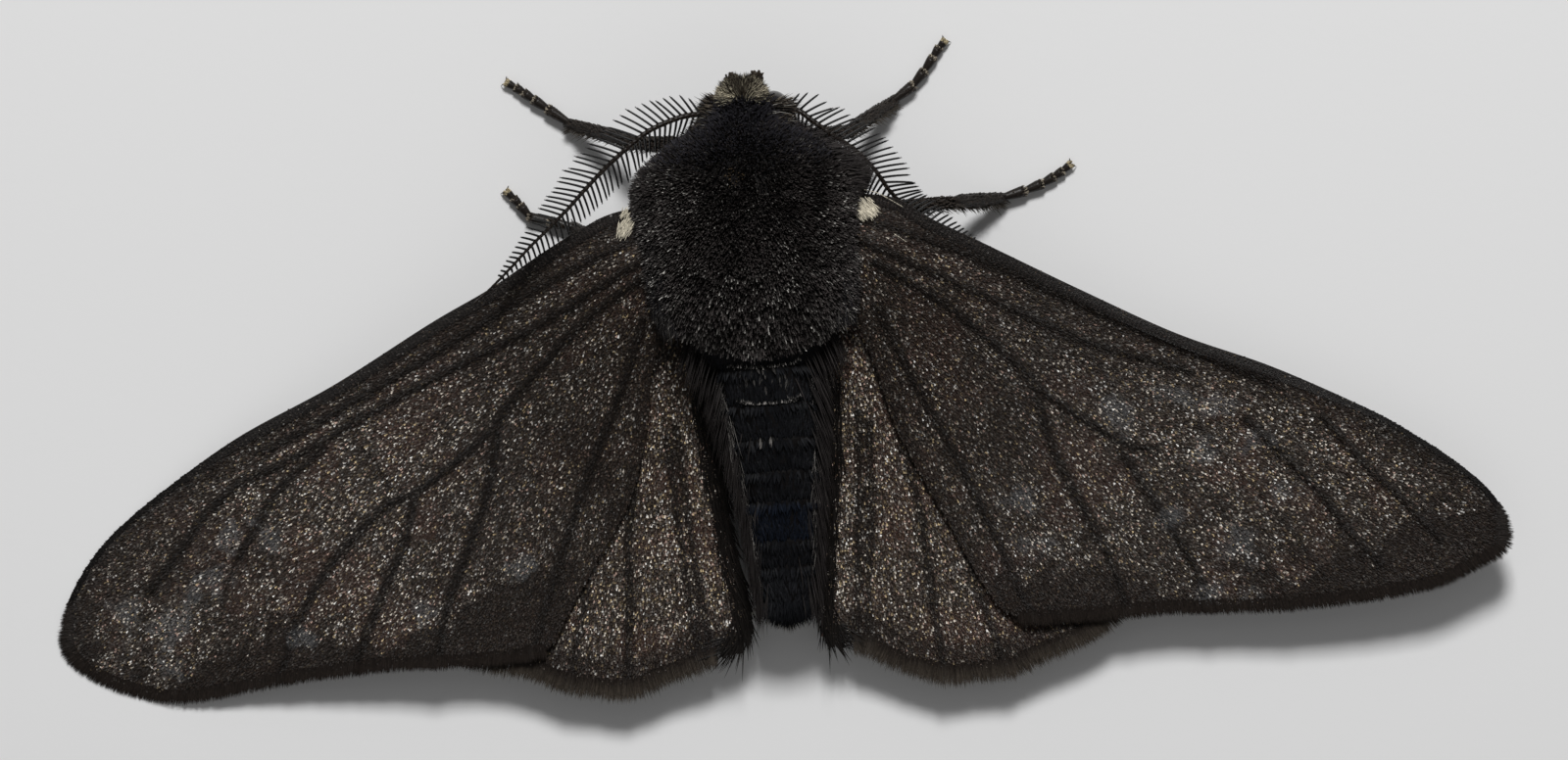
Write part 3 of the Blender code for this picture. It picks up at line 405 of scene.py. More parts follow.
# Outlines run to the fringe's tips, with x as the distance out from the midline, and corner is where
# the inner margin turns into the outer one. faint holds veins that hardly show, and veinLight is the
# share of their light that pale scales keep on a vein. worn holds rubbed patches, each as place,
# length, width and lean. zones holds wide brighter or darker parts, with their strength as well.
# Fore wings also have mottled, a broken-up part, and margin, the outline of the dark border.
wings = {
    "forewing_right": {
        "side": 1, "kind": "fore", "veins": forewingVeins + rightVeins, "faint": rightFaint,
        "corner": (8.0, -13.6), "seed": 3, "veinLight": 0.2,
        "front": ((2.6, 1.2), (3.92, 1.06), (4.9, 0.83), (6.02, 0.08), (7.63, -0.8), (10.85, -2.6),
                  (14.07, -4.33), (17.31, -5.72), (20.53, -7.42), (22.12, -8.48), (23.0, -9.14),
                  (24.02, -10.06), (24.68, -10.93), (24.95, -11.6), (25.0, -12.2)),
        "rear": ((2.7, -2.2), (3.6, -4.2), (4.3, -6.78), (5.7, -9.79), (6.95, -12.42), (8.06, -13.73),
                 (10.05, -13.9), (13.4, -13.88), (16.73, -14.03), (20.08, -13.9), (22.4, -13.6),
                 (23.6, -13.12), (24.66, -12.65), (25.0, -12.2)),
        "worn": ((11.6, -6.9, 0.8, 0.5, -40), (13.8, -6.4, 0.7, 0.4, -20), (15.2, -6.8, 0.8, 0.4, -20),
                 (14.7, -8.4, 0.5, 0.5, -30), (16.4, -8.2, 0.6, 0.4, 0), (13.3, -10.5, 0.5, 0.4, 0),
                 (8.3, -9.6, 0.6, 0.5, 0), (8.6, -11.1, 0.8, 0.4, 0), (15.6, -11.6, 0.8, 0.6, -60),
                 (14.5, -13.2, 0.6, 0.5, -50), (15.9, -13.6, 0.5, 0.4, 0), (17.2, -9.8, 0.5, 0.5, -40)),
        "zones": ((15.8, -6.05, 0.5, 0.3, -30, 0.8), (14.7, -5.5, 0.4, 0.3, -30, 0.6),
                  (14.5, -8.3, 4.6, 2.6, -30, 0.45), (10.2, -3.9, 2.4, 0.9, -28, -0.4),
                  (17.6, -7.0, 2.0, 0.6, -30, -0.3), (7.6, -6.8, 2.0, 1.2, -35, -0.1)),
        "mottled": (16.5, -12.2, 3.2, 1.6, -15),
        "margin": ((7, -12.1), (9.5, -12.3), (10.8, -12.3), (11.6, -12.1), (12.4, -13.0), (14.5, -13.5),
                   (15.4, -14.1), (15.9, -14.1), (16.4, -13.5), (18.3, -12.6), (18.8, -12.2), (19.7, -12.4),
                   (20.5, -11.6), (21.6, -11.5), (22.3, -10.7), (23.3, -10.8), (24.1, -10.8), (26, -11),
                   (26, -15), (7, -15))},
    "forewing_left": {
        "side": -1, "kind": "fore", "veins": forewingVeins + leftVeins, "faint": leftFaint,
        "corner": (8.0, -13.7), "seed": 4, "veinLight": 0.1,
        "front": ((2.6, 1.2), (4.1, 1.12), (4.95, 0.95), (5.63, 0.66), (7.02, -0.04), (9.11, -1.23),
                  (11.18, -2.23), (14.65, -4.09), (18.1, -5.65), (20.89, -7.35), (22.42, -8.46),
                  (23.4, -9.42), (24.12, -10.45), (24.56, -11.3), (24.75, -12.15)),
        "rear": ((2.7, -2.2), (3.69, -4.09), (4.12, -6.39), (4.85, -8.68), (6.47, -11.24), (7.4, -12.68),
                 (8.08, -13.74), (10, -14), (13.34, -13.97), (16.69, -14.17), (18.5, -14.4),
                 (19.9, -14.58), (21.3, -14.56), (22.95, -14.02), (24.0, -13.4), (24.6, -12.8),
                 (24.75, -12.15)),
        "worn": ((18.4, -9.0, 0.9, 0.5, -40), (17.2, -9.2, 0.5, 0.4, -40), (19.2, -10.4, 0.8, 0.5, -45),
                 (20.0, -10.9, 0.7, 0.5, -45), (20.8, -11.8, 0.8, 0.6, -60), (22.5, -11.4, 0.5, 0.5, -45),
                 (20.9, -13.4, 0.5, 0.4, 0), (12.2, -11.9, 0.5, 0.5, 0), (8.6, -10.7, 0.7, 0.4, 0),
                 (16.4, -12.6, 0.6, 0.4, 0)),
        "zones": ((14.5, -8.9, 4.8, 2.8, -33, 0.4), (23.7, -12.6, 0.4, 0.3, -30, -2),
                  (22.0, -13.4, 0.4, 0.3, -20, -2), (20.2, -14.0, 0.5, 0.3, 0, -2),
                  (21.8, -12.9, 2.4, 1.2, -35, 0.3), (9.6, -2.3, 1.8, 0.5, -35, -0.3),
                  (6.0, -7.5, 0.9, 3.0, -30, -0.3)),
        "mottled": (21.0, -11.6, 3.2, 1.9, -50),
        "margin": ((7, -10.3), (9.0, -10.9), (9.9, -11.4), (10.8, -11.9), (11.3, -12.4), (12.6, -13.1),
                   (14.9, -12.9), (15.6, -12.9), (16.1, -12.4), (17.0, -12.1), (17.7, -12.2), (18.4, -12.6),
                   (19.2, -12.8), (19.8, -13.3), (20.7, -13.7), (21.2, -14.4), (21.2, -15.5), (7, -15.5))},
    "hindwing_right": {
        "side": 1, "kind": "hind", "veins": hindwingVeins, "faint": (), "corner": (2.3, -14.1), "seed": 5,
        "veinLight": 0.25,
        "front": hindwingFront,
        "rear": ((2.0, -4.6), (1.85, -7.5), (1.5, -10.5), (1.32, -12.8), (1.6, -13.85), (2.77, -14.43),
                 (3.53, -14.98), (4.64, -15.43), (5.65, -15.7), (7.1, -15.64), (7.96, -15.55),
                 (8.56, -15.27), (9.96, -14.8), (10.79, -14.42), (11.6, -13.9), (12.7, -12.4)),
        "worn": (), "zones": ()},
    "hindwing_left": {
        "side": -1, "kind": "hind", "veins": hindwingVeins, "faint": (), "corner": (2.2, -14.1), "seed": 6,
        "veinLight": 0.2,
        "front": hindwingFront,
        "rear": ((2.0, -4.6), (1.81, -7.0), (1.45, -10.5), (1.1, -12.6), (1.3, -13.65), (1.99, -14.2),
                 (3.1, -14.75), (4.23, -15.11), (4.88, -15.36), (6.05, -15.38), (7.63, -15.0),
                 (8.76, -14.5), (10.24, -14.15), (11.6, -13.6), (12.7, -12.4)),
        "worn": (), "zones": ()}}
membraneMesh = {"along": 112, "across": 54}
wingScales = {"fore": {"pitch": 0.064, "beside": 0.046, "size": 1.0},
              "hind": {"pitch": 0.066, "beside": 0.048, "size": 1.0},
              "under": {"pitch": 0.2, "beside": 0.15, "size": 3.0},
              "length": 0.12, "width": 0.064, "lift": 12.0, "turn": 10.0, "roll": 16.0}
fringe = {"fore": 0.42, "hind": 0.66, "step": 0.016, "perStep": 5, "width": 0.042, "inside": 0.2,
          "inset": 0.7, "heights": 3, "heightStep": 0.012}
costaRows = {"step": 0.07, "perRow": 8, "first": 0.05, "last": 0.36, "length": 0.12, "width": 0.085}
innerHair = {"count": 900, "length": 1.0, "width": 0.045, "band": 0.6}
wingTints = {"dark": linear("#1a1410"), "mid": linear("#2d241e"), "rust": linear("#32221c"),
             "bare": linear("#1c1612"), "pale": linear("#e2d8ca"), "gold": linear("#c9b38c"),
             "rose": linear("#c3a597"), "white": linear("#f8f5f0"), "grey": linear("#4d4e50"),
             "costa": linear("#262220"), "fringe": linear("#1e1916"), "fringeTip": linear("#2b2521"),
             "hindTip": linear("#4c453d"), "inner": linear("#1b1816")}
# How bright the pale scales, which also carry painted glints, are near the root, how much they gain
# outwards, over which distances they fade in from the outer edge, the inner edge and a vein, what is
# left of them at the inner edge, and how much rarer the white ones are
wingPaleAndGlint = {"fore": {"near": 0.68, "gain": 0.27, "outer": (0.05, 0.5), "inner": (0.1, 0.7),
                      "vein": (0.06, 0.3), "innerLeast": 0.3, "lessWhite": 0.0},
             "hind": {"near": 2.05, "gain": 0.0, "outer": (0.6, 1.4), "inner": (0.0, 0.25),
                      "vein": (0.06, 0.24), "innerLeast": 0.2, "lessWhite": 0.08}}
# Light scales stand for real pale scales and for painted glints at once
# A light scale's sort is the last one here that its draw from 0 to 1 is below, or else gold
lightSorts = {"pale": 0.82, "rose": 0.38, "white": 0.22}
fieldStep = 0.06


def wingLevel(wing, x, y):
    form = wingForm
    away = np.hypot(x - form["root"][0], y - form["root"][1])
    level = form["rear"] + form["rise"] * np.exp(-(away / form["fall"]) ** form["fallPower"])
    if wing["kind"] == "fore":
        outward = ease(x, form["tipBegins"], form["tipEnds"])
        level = level + (form["tipHeight"][wing["side"]] - form["rear"]) * outward
        return np.maximum(level, form["lowest"])
    return level - form["hindStep"]


def inset(line, depth):
    # Moves a closed outline inward by a depth for each point
    run = np.roll(line, -1, 0) - np.roll(line, 1, 0)
    area = (line[:, 0] * np.roll(line[:, 1], -1) - np.roll(line[:, 0], -1) * line[:, 1]).sum()
    inward = unit(np.stack((-run[:, 1], run[:, 0]), 1)) * np.sign(area)
    return line + inward * depth[:, None]


def readWing(wing):
    # The membrane's outline lies inside the fringe, and its fields are kept on a fine grid
    count = 260
    front, rear = smoothLine(wing["front"], count), smoothLine(wing["rear"], count)
    corner = np.argmin(np.hypot(*(rear - wing["corner"]).T))
    at = np.arange(count)
    rearDepth = fringe[wing["kind"]] * fringe["inset"] * ease(at, corner - 8, corner + 6)
    frontDepth = fringe[wing["kind"]] * fringe["inset"] * ease(at, count - 16, count - 4)
    closed = inset(np.vstack((front, rear[::-1][1:-1])), np.concatenate((frontDepth, rearDepth[::-1][1:-1])))
    wing["frontLine"] = closed[:count]
    wing["rearLine"] = np.vstack((rear[:1], closed[count:][::-1], closed[count - 1:count]))
    wing["outline"] = closed
    wing["outerEdge"] = wing["rearLine"][corner:]
    wing["innerEdge"] = wing["rearLine"][:corner]
    low = closed.min(0) - 0.3
    shape = np.ceil((closed.max(0) + 0.3 - low) / fieldStep).astype(int) + 1
    x = low[0] + np.arange(shape[0]) * fieldStep
    y = low[1] + np.arange(shape[1]) * fieldStep
    places = np.stack(np.meshgrid(x, y, indexing="ij"), 2).reshape(-1, 2)
    vein = np.full(len(places), 1e9)
    for course in wing["veins"]:
        vein = np.minimum(vein, awayFrom(places, smoothLine(course, 14)))
    for course in wing["faint"]:
        vein = np.minimum(vein, awayFrom(places, smoothLine(course, 14)) + wingForm["veinWidth"])
    costa = awayFrom(places, wing["frontLine"][::6])
    form = wingForm
    level = wingLevel(wing, places[:, 0], places[:, 1]) + form["inSheet"][wing["kind"]]
    level += form["veinRise"] * np.exp(-(vein / form["veinWidth"]) ** 2)
    level += form["cellSag"] * (1 - np.minimum(vein / form["cellSlope"], 1)) ** 2
    if wing["kind"] == "fore":
        narrowing = 1 - 0.7 * ease(places[:, 0], 16, 22)
        level += form["costaRise"] * np.exp(-(costa / form["costaWidth"]) ** 2) * narrowing
    level += form["waveHeight"] * (cloud(places, form["waveSize"], wing["seed"]) - 0.5)
    wing["low"] = low
    fields = {"level": level, "vein": vein, "costa": costa, "outer": awayFrom(places, wing["outerEdge"][::4]),
              "inner": awayFrom(places, wing["innerEdge"][::4])}
    wing["fields"] = {name: field.reshape(shape) for name, field in fields.items()}


def readField(wing, name, places):
    field = wing["fields"][name]
    at = (places - wing["low"]) / fieldStep
    cell = np.clip(np.floor(at).astype(int), 0, np.array(field.shape) - 2)
    part = np.clip(at - cell, 0, 1)
    x, y = cell.T
    return blended(field[x, y], field[x + 1, y], field[x, y + 1], field[x + 1, y + 1], part)


def onWing(wing, places, headings):
    # Points on the membrane with their heading and normal, on the moth's own side
    step = 0.04
    level = readField(wing, "level", places)
    ahead = readField(wing, "level", places + headings * step)
    beside = np.stack((headings[:, 1], -headings[:, 0]), 1)
    right = readField(wing, "level", places + beside * step)
    along = unit(np.column_stack((headings, (ahead - level) / step)))
    across = unit(np.column_stack((beside, (right - level) / step)))
    normal = unit(np.cross(across, along))
    flip = np.array((wing["side"], 1, 1))
    return np.column_stack((places, level)) * flip, along * flip, normal * flip


fanMiddle = np.array(wingForm["root"]) + wingForm["fan"]


def fanFrom(places):
    # Scales point away from the wing's root, as its veins do
    return unit(places - fanMiddle)


def wingSpot(places, under=False):
    # The unwrap of a wing is its own fan: angle round the root, and distance from it
    away = places - (1.0, 2.2)
    angle = np.arctan2(away[:, 1], away[:, 0])
    u = (angle + math.pi / 2 + 0.1) / (math.pi / 2 + 0.3)
    v = np.hypot(*away.T) / 29
    return np.stack((np.clip(u, 0.01, 0.99) * 0.49 + (0.5 if under else 0.005), np.clip(v, 0.005, 0.99)), 1)


def buildMembrane(wing):
    # The membrane itself: two faces about 0.06 mm apart, closer at the inner and outer rim
    along, across = membraneMesh["along"], membraneMesh["across"]
    front, rear = smoothLine(wing["frontLine"][::5], along), smoothLine(wing["rearLine"][::5], along)
    share = np.linspace(0, 1, across)[None, :, None]
    places = (front[:, None] * (1 - share) + rear[:, None] * share).reshape(-1, 2)
    level = readField(wing, "level", places)
    toRim = np.minimum(readField(wing, "outer", places), readField(wing, "inner", places))
    thick = wingForm["membrane"] * ease(toRim, -0.1, 0.4) + wingForm["rim"]
    flip = np.array((wing["side"], 1, 1))
    top = np.column_stack((places, level - 0.01)) * flip
    low = np.column_stack((places, level - 0.01 - thick)) * flip
    rows, columns = np.meshgrid(np.arange(along - 1), np.arange(across - 1), indexing="ij")
    a = (rows * across + columns).ravel()
    quads = np.stack((a, a + 1, a + across + 1, a + across), 1)
    total = len(places)
    rim = np.concatenate((np.arange(across - 1), np.arange(along - 1) * across + across - 1,
                          (along - 1) * across + np.arange(across - 1, 0, -1),
                          np.arange(along - 1, 0, -1) * across))
    following = np.roll(rim, -1)
    wall = np.stack((rim, following, following + total, rim + total), 1)
    if wing["side"] > 0:
        wall = wall[:, ::-1]
    else:
        quads = quads[:, ::-1]
    colour = wingTints["bare"][None] * (0.7 + 0.5 * cloud(places, 0.5, wing["seed"] + 20))[:, None]
    return {"points": np.vstack((top, low)), "quads": np.vstack((quads, quads[:, ::-1] + total, wall)),
            "map": np.vstack((wingSpot(places), wingSpot(places, True))),
            "tint": np.vstack((colour, colour))}


def patchShares(places, patch):
    # Distance from a leaning oval's middle, 1 at its rim
    x, y, length, width, lean = patch[:5]
    lean = math.radians(lean)
    cos, sin = math.cos(lean), math.sin(lean)
    dx, dy = places[:, 0] - x, places[:, 1] - y
    return np.hypot((dx * cos + dy * sin) / length, (dy * cos - dx * sin) / width)


def scaleTint(wing, places, random):
    # Near-black ground, a fine glitter of pale, golden and white scales between the veins, partly painted
    # glints
    fore, look = wing["kind"] == "fore", wingPaleAndGlint[wing["kind"]]
    vein, costa = readField(wing, "vein", places), readField(wing, "costa", places)
    outer, inner = readField(wing, "outer", places), readField(wing, "inner", places)
    away = np.hypot(*(places - wingForm["root"]).T)
    level = look["near"] + look["gain"] * ease(away, 6, 13)
    for zone in wing["zones"]:
        level = level + zone[5] * np.exp(-patchShares(places, zone) ** 2)
    level = level.clip(0.05, 2.2) * (0.2 + 0.8 * ease(outer, *look["outer"]))
    if fore:
        # The dark border and the mottled part both have ragged edges
        wander = np.stack([cloud(places, 0.6, wing["seed"] + part) - 0.5 for part in (13, 14)], 1) * 1.1
        wander = wander + random.normal(0, 0.1, places.shape)
        level *= 1 - 0.88 * insideOf(places + wander, np.array(wing["margin"]))
        broken = ease(cloud(places, 0.42, wing["seed"] + 12), 0.45, 0.7)
        level *= 1 - 0.85 * broken * np.exp(-patchShares(places, wing["mottled"]) ** 2)
        level *= 0.25 + 0.75 * ease(costa, wingForm["costaWidth"], 1.3)
    least = wing["veinLight"]
    level *= least + (1 - least) * ease(vein, *look["vein"])
    least = look["innerLeast"]
    level *= least + (1 - least) * ease(inner, *look["inner"])
    paleAndGlint = level * (0.55 + 0.9 * cloud(places, 1.2, wing["seed"] + 7))
    paleAndGlint *= 0.7 + 0.6 * cloud(places, 0.3, wing["seed"] + 8)
    worn = np.zeros(len(places))
    for patch in wing["worn"]:
        ragged = 1.3 * (cloud(places, 0.35, wing["seed"] + 9) - 0.5)
        worn = np.maximum(worn, ease(1.2 - patchShares(places, patch) + ragged, 0, 0.9))
    count = len(places)
    shade = uneven(random, count, 0.25, 0.4, 1.8)
    ground = mixed(wingTints["dark"], wingTints["mid"], random.random(count) ** 1.5)
    rusty = ease(cloud(places, 1.1, wing["seed"] + 11), 0.45, 0.8) * level.clip(0, 1)
    ground = mixed(ground, wingTints["rust"], rusty * 0.6)
    ground = ground * (0.8 + 0.4 * level)[:, None]
    ground = mixed(ground, wingTints["grey"], worn * 0.6)
    if fore:
        ground = mixed(ground, wingTints["costa"] * 0.8, 1 - ease(costa, 0.22, 0.42))
    ground = ground * (0.6 + 0.4 * ease(vein, 0.06, 0.26))[:, None]
    luck = random.random((count, 1)) + look["lessWhite"]
    light = wingTints["gold"]
    for sort, most in lightSorts.items():
        light = np.where(luck < most, wingTints[sort], light)
    # Few scales shine strongly and many a little: real pale colour and painted glint in one
    luck = random.random(count)
    shine = ((0.95 * luck ** 14 + 0.1 * luck ** 2.2) * (paleAndGlint + 0.35 * worn)).clip(0, 1)
    return ground * shade[:, None] + (light - ground) * shine[:, None]


def wingPlaces(wing, pitch, beside, random):
    # Rows of places in arcs round the root, a little out of line
    reach = np.hypot(*(wing["outline"] - fanMiddle).T).max()
    span = math.pi / 2 + wingForm["fanTurn"]
    rows = []
    for radius in np.arange(0.6, reach, pitch):
        count = max(int(radius * span / beside), 2)
        turn = -math.pi / 2 + wingForm["fanBegins"] + span * (np.arange(count) + random.random()) / count
        rows.append(fanMiddle + radius * np.stack((np.cos(turn), np.sin(turn)), 1))
    places = np.vstack(rows)
    places += random.normal(0, pitch * 0.16, places.shape)
    return places[insideOf(places, wing["outline"][::3])]


def halves(block):
    # Splits a coat between two flakes, which have four points and four faces each
    middle = len(block["points"]) // 8 * 4
    first = {key: rows[:middle] for key, rows in block.items()}
    second = {key: rows[middle:] for key, rows in block.items()}
    second["tris"] = second["tris"] - middle
    return first, second


def turned(heading, degrees):
    angle = np.radians(degrees)
    cos, sin = np.cos(angle), np.sin(angle)
    return np.stack((heading[:, 0] * cos - heading[:, 1] * sin, heading[:, 0] * sin + heading[:, 1] * cos), 1)


def wingCoat(wing, under=False):
    random = np.random.default_rng(wing["seed"] * 10 + under)
    look = wingScales["under" if under else wing["kind"]]
    places = wingPlaces(wing, look["pitch"], look["beside"], random)
    edge = np.minimum(readField(wing, "costa", places), readField(wing, "outer", places))
    places = places[edge > (0.3 if under else 0.05)]
    count = len(places)
    heading = turned(fanFrom(places), random.normal(0, wingScales["turn"], count))
    root, along, normal = onWing(wing, places, heading)
    if under:  # the lower face has fewer and larger scales
        root = root - normal * (wingForm["membrane"] + 0.02)
        normal = -normal
    lift = np.radians(random.normal(wingScales["lift"], 5.0, count).clip(1, 32))[:, None]
    roll = np.radians(random.normal(0, wingScales["roll"], count))[:, None]
    side = np.cross(along, normal)
    up = unit(normal * np.cos(roll) + side * np.sin(roll))
    along = unit(along * np.cos(lift) + normal * np.sin(lift))
    length = wingScales["length"] * uneven(random, count, 0.14, 0.6, 1.5) * look["size"]
    width = wingScales["width"] * uneven(random, count, 0.16, 0.6, 1.5) * look["size"]
    tint = scaleTint(wing, places, random)
    return flakes(root - normal * 0.012, along, up, length, width, wingSpot(places, under), tint * 0.8, tint)


def fringeHairs(wing):
    # Long narrow scales in three layers along the outer margin, notched a little between the veins
    random = np.random.default_rng(wing["seed"] * 10 + 5)
    edge = wing["outerEdge"]
    if wing["kind"] == "fore":
        edge = np.vstack((edge, wing["frontLine"][::-1][1:17]))
    count = int(lengthOf(edge) / fringe["step"]) * fringe["perStep"]
    line = smoothLine(edge[::4], 600)
    at = random.random(count) * (len(line) - 1.01)
    places, cell = alongLine(line, at)
    run = unit(np.gradient(line, axis=0))[cell]
    out = np.stack((run[:, 1], -run[:, 0]), 1)
    out *= np.sign((out * (places - (10, -8))).sum(1))[:, None]
    heading = unit(out + 0.35 * fanFrom(places) + random.normal(0, 0.06, places.shape))
    places = places - out * fringe["inside"] * random.random((count, 1))
    root, along, normal = onWing(wing, places, heading)
    atVein = np.exp(-(readField(wing, "vein", places) / 0.5) ** 2)
    ragged = 0.05 if wing["kind"] == "fore" else 0.1
    length = fringe[wing["kind"]] * (0.95 + 0.08 * atVein + random.normal(0, ragged, count))
    # On the front edge it grows out gradually towards the tip
    onFront = at / len(line) > lengthOf(wing["outerEdge"]) / lengthOf(edge)
    toTip = np.hypot(*(places - wing["outerEdge"][-1]).T)
    length = np.where(onFront, length * ease(1.7 - toTip, 0, 1.5), length)
    layer = random.integers(0, fringe["heights"], count)
    root += normal * (layer * fringe["heightStep"])[:, None]
    base = wingTints["fringe"] * uneven(random, count, 0.25, 0.5, 1.7)[:, None]
    tip = wingTints["fringeTip" if wing["kind"] == "fore" else "hindTip"]
    tip = tip * (0.5 + 0.8 * random.random(count))[:, None]
    return hairs(root, along, normal, length.clip(0.04, 0.9), fringe["width"] * random.normal(1, 0.2, count),
                 wingSpot(places), base, tip, bend=random.normal(0, 0.05, count),
                 sway=random.normal(0, 0.05, count), rings=(1.0,))


def costaScales(wing):
    # The thick front edge carries raised cross rows of coarse scales
    random = np.random.default_rng(wing["seed"] * 10 + 7)
    steps = 900
    line = smoothLine(wing["frontLine"][6:-10:6], steps)
    rows, perRow = int(lengthOf(line) / costaRows["step"]), costaRows["perRow"]
    row = np.repeat(np.arange(rows), perRow)
    at = (row + random.normal(0, 0.12, rows * perRow)) / rows * (steps - 3) + 1
    cell = at.clip(0, steps - 3).astype(int)
    run = unit(np.gradient(line, axis=0))[cell]
    inward = np.stack((run[:, 1], -run[:, 0]), 1)
    narrow = 1 - 0.6 * ease(line[cell, 0], 16, 22)
    depth = np.tile(np.linspace(costaRows["first"], costaRows["last"], perRow), rows) * narrow
    depth = depth + random.normal(0, 0.008, rows * perRow)
    places = line[cell] + inward * depth[:, None]
    heading = unit(run + inward * (depth * 0.6)[:, None])
    root, along, normal = onWing(wing, places, heading)
    count = len(places)
    bar = (0.6 + 0.6 * (row % 2)) * np.exp(-((depth - 0.2) / 0.22) ** 2) * narrow
    tint = wingTints["costa"] * (bar * uneven(random, count, 0.2, 0.5, 1.6))[:, None]
    along = unit(along + normal * random.normal(0.14, 0.02, count)[:, None])
    return flakes(root, along, normal, costaRows["length"], costaRows["width"], wingSpot(places),
                  tint * 0.6, tint, thick=0.3)


def innerHairs(wing):
    # Long dark hairs lie along the inner margin of the hind wing
    random = np.random.default_rng(wing["seed"] * 10 + 8)
    count = innerHair["count"]
    line = smoothLine(wing["innerEdge"][::5], 400)
    cell = (random.random(count) * 380).astype(int) + 10
    run = unit(np.gradient(line, axis=0))[cell]
    inward = np.stack((-run[:, 1], run[:, 0]), 1)
    places = line[cell] + inward * (random.random((count, 1)) ** 1.6 * innerHair["band"])
    heading = turned(run, random.normal(-4, 9, count))
    root, along, normal = onWing(wing, places, heading)
    along = unit(along + normal * random.normal(0.1, 0.05, count)[:, None])
    shade = uneven(random, count, 0.3, 0.4, 1.8)[:, None]
    length = innerHair["length"] * uneven(random, count, 0.25, 0.4, 1.6)
    return hairs(root, along, normal, length, innerHair["width"],
                 wingSpot(places), wingTints["inner"] * 0.5 * shade, wingTints["inner"] * shade,
                 bend=-0.04, rings=(0.7, 1.0, 0.7))


for name, wing in wings.items():
    readWing(wing)
    addPiece(name + "_membrane", buildMembrane(wing), wingScale, (name,))
    for word, coat in zip(("inner", "outer"), halves(wingCoat(wing))):
        addPiece(name + "_scales_" + word, coat, wingScale, smooth=False)
    addPiece(name + "_under_scales", wingCoat(wing, True), wingScale, smooth=False)
    extra = [fringeHairs(wing), costaScales(wing) if wing["kind"] == "fore" else innerHairs(wing)]
    addPiece(name + "_fringe", joined(extra), wingScale, smooth=False)
print("wings done")

# Body

bodyRows = np.array((
    (5.08, 0.0, 3.75, 3.75), (4.95, 0.6, 4.4, 3.05), (4.5, 0.92, 4.72, 2.7), (4.0, 1.1, 5.1, 2.6),
    (3.6, 1.35, 5.55, 2.55), (3.3, 1.75, 5.8, 2.55), (2.9, 2.35, 6.1, 2.5), (2.4, 3.0, 6.35, 2.4),
    (1.7, 3.5, 6.55, 2.2), (0, 3.58, 6.7, 1.9), (-1.7, 3.42, 6.4, 1.9), (-2.8, 3.05, 5.8, 2.1),
    (-3.5, 2.5, 5.3, 2.0), (-4.2, 2.0, 4.98, 1.75), (-4.8, 1.8, 4.88, 1.55),
    (-6.2, 1.65, 4.65, 1.4), (-8.2, 1.42, 4.2, 1.25), (-10.2, 1.2, 3.6, 1.15), (-11.8, 1.0, 3.05, 1.1),
    (-12.6, 0.75, 2.6, 1.3), (-12.95, 0.0, 2.0, 2.0)))  # y, half width, top, bottom
# The body bends a little: x of its middle at each y
bodyBend = np.array(((-13.4, 0.22), (-10.3, 0.3), (-8, 0.27), (-6, 0.15), (-4.5, 0), (-2, -0.14), (0, -0.2),
                     (2.2, -0.26), (3.2, -0.18), (4.1, -0.1), (5.1, -0.1)))
# joints holds the y at which each ring of the abdomen ends, and how pale its edge is
body = {"rings": 300, "sides": 120, "front": 5.07, "back": -12.94, "notch": 0.05, "unevenBy": 0.06,
        "joints": ((-4.42, 0.5), (-5.65, 0.8), (-6.85, 0), (-7.95, 0), (-8.98, 0), (-10.31, 0), (-11.2, 0))}
bodyFine = smoothLine(bodyRows, 1200)
bodyFine[:, 1:] = np.maximum(bodyFine[:, 1:], 0)
bodyOrder = np.argsort(bodyFine[:, 0])


def bodyMiddle(y):
    return np.interp(y, *bodyBend.T)


def bodyPoint(y, turn):
    # A point of the skin at y, turned from the top towards the moth's right
    half, top, low = [np.interp(y, bodyFine[bodyOrder, 0], bodyFine[bodyOrder, k]) for k in (1, 2, 3)]
    notch = 1 - body["notch"] * sum(np.exp(-((y - joint) / 0.1) ** 2) for joint, pale in body["joints"])
    middle, tall = (top + low) / 2, (top - low) / 2
    x = half * np.sin(turn) * notch + bodyMiddle(y)
    return np.stack((x, y + 0 * turn, middle + tall * np.cos(turn) * notch), -1)


def bodyNormal(y, turn):
    step = 0.02
    alongY = bodyPoint(y + step, turn) - bodyPoint(y - step, turn)
    around = bodyPoint(y, turn + step) - bodyPoint(y, turn - step)
    return unit(np.cross(around, alongY))


def bodyHalf(y):
    return bodyPoint(y, np.full(len(y), np.pi / 2))[:, 0] - bodyMiddle(y)


def bodySpot(y, turn):
    # The unwrap of the body: round it, and along it
    return np.stack(((turn / (2 * np.pi)) % 1.0 * 0.98 + 0.01, (y + 13.2) / 18.5), -1)


bodyTints = {"skin": linear("#0d0b0b"), "fur": linear("#110f0e"), "furWarm": linear("#1b1613"),
             "furTip": linear("#353130"), "speck": linear("#cfccc5"), "collar": linear("#121114"),
             "collarTip": linear("#2e2d31"), "tan": linear("#8d7a60"), "sideHair": linear("#6a6763"),
             "abdomen": linear("#0a0a0c"), "abdomenTip": linear("#141518"), "blueRing": linear("#111722"),
             "lastRing": linear("#242528"), "ringEdge": linear("#8a8682"), "tailHair": linear("#b8b3a9"),
             "under": linear("#3d362f"), "cream": linear("#c9c0a8"), "tuftMiddle": linear("#6a6155"),
             "tuftTip": linear("#15110e"), "white": linear("#ece8de")}


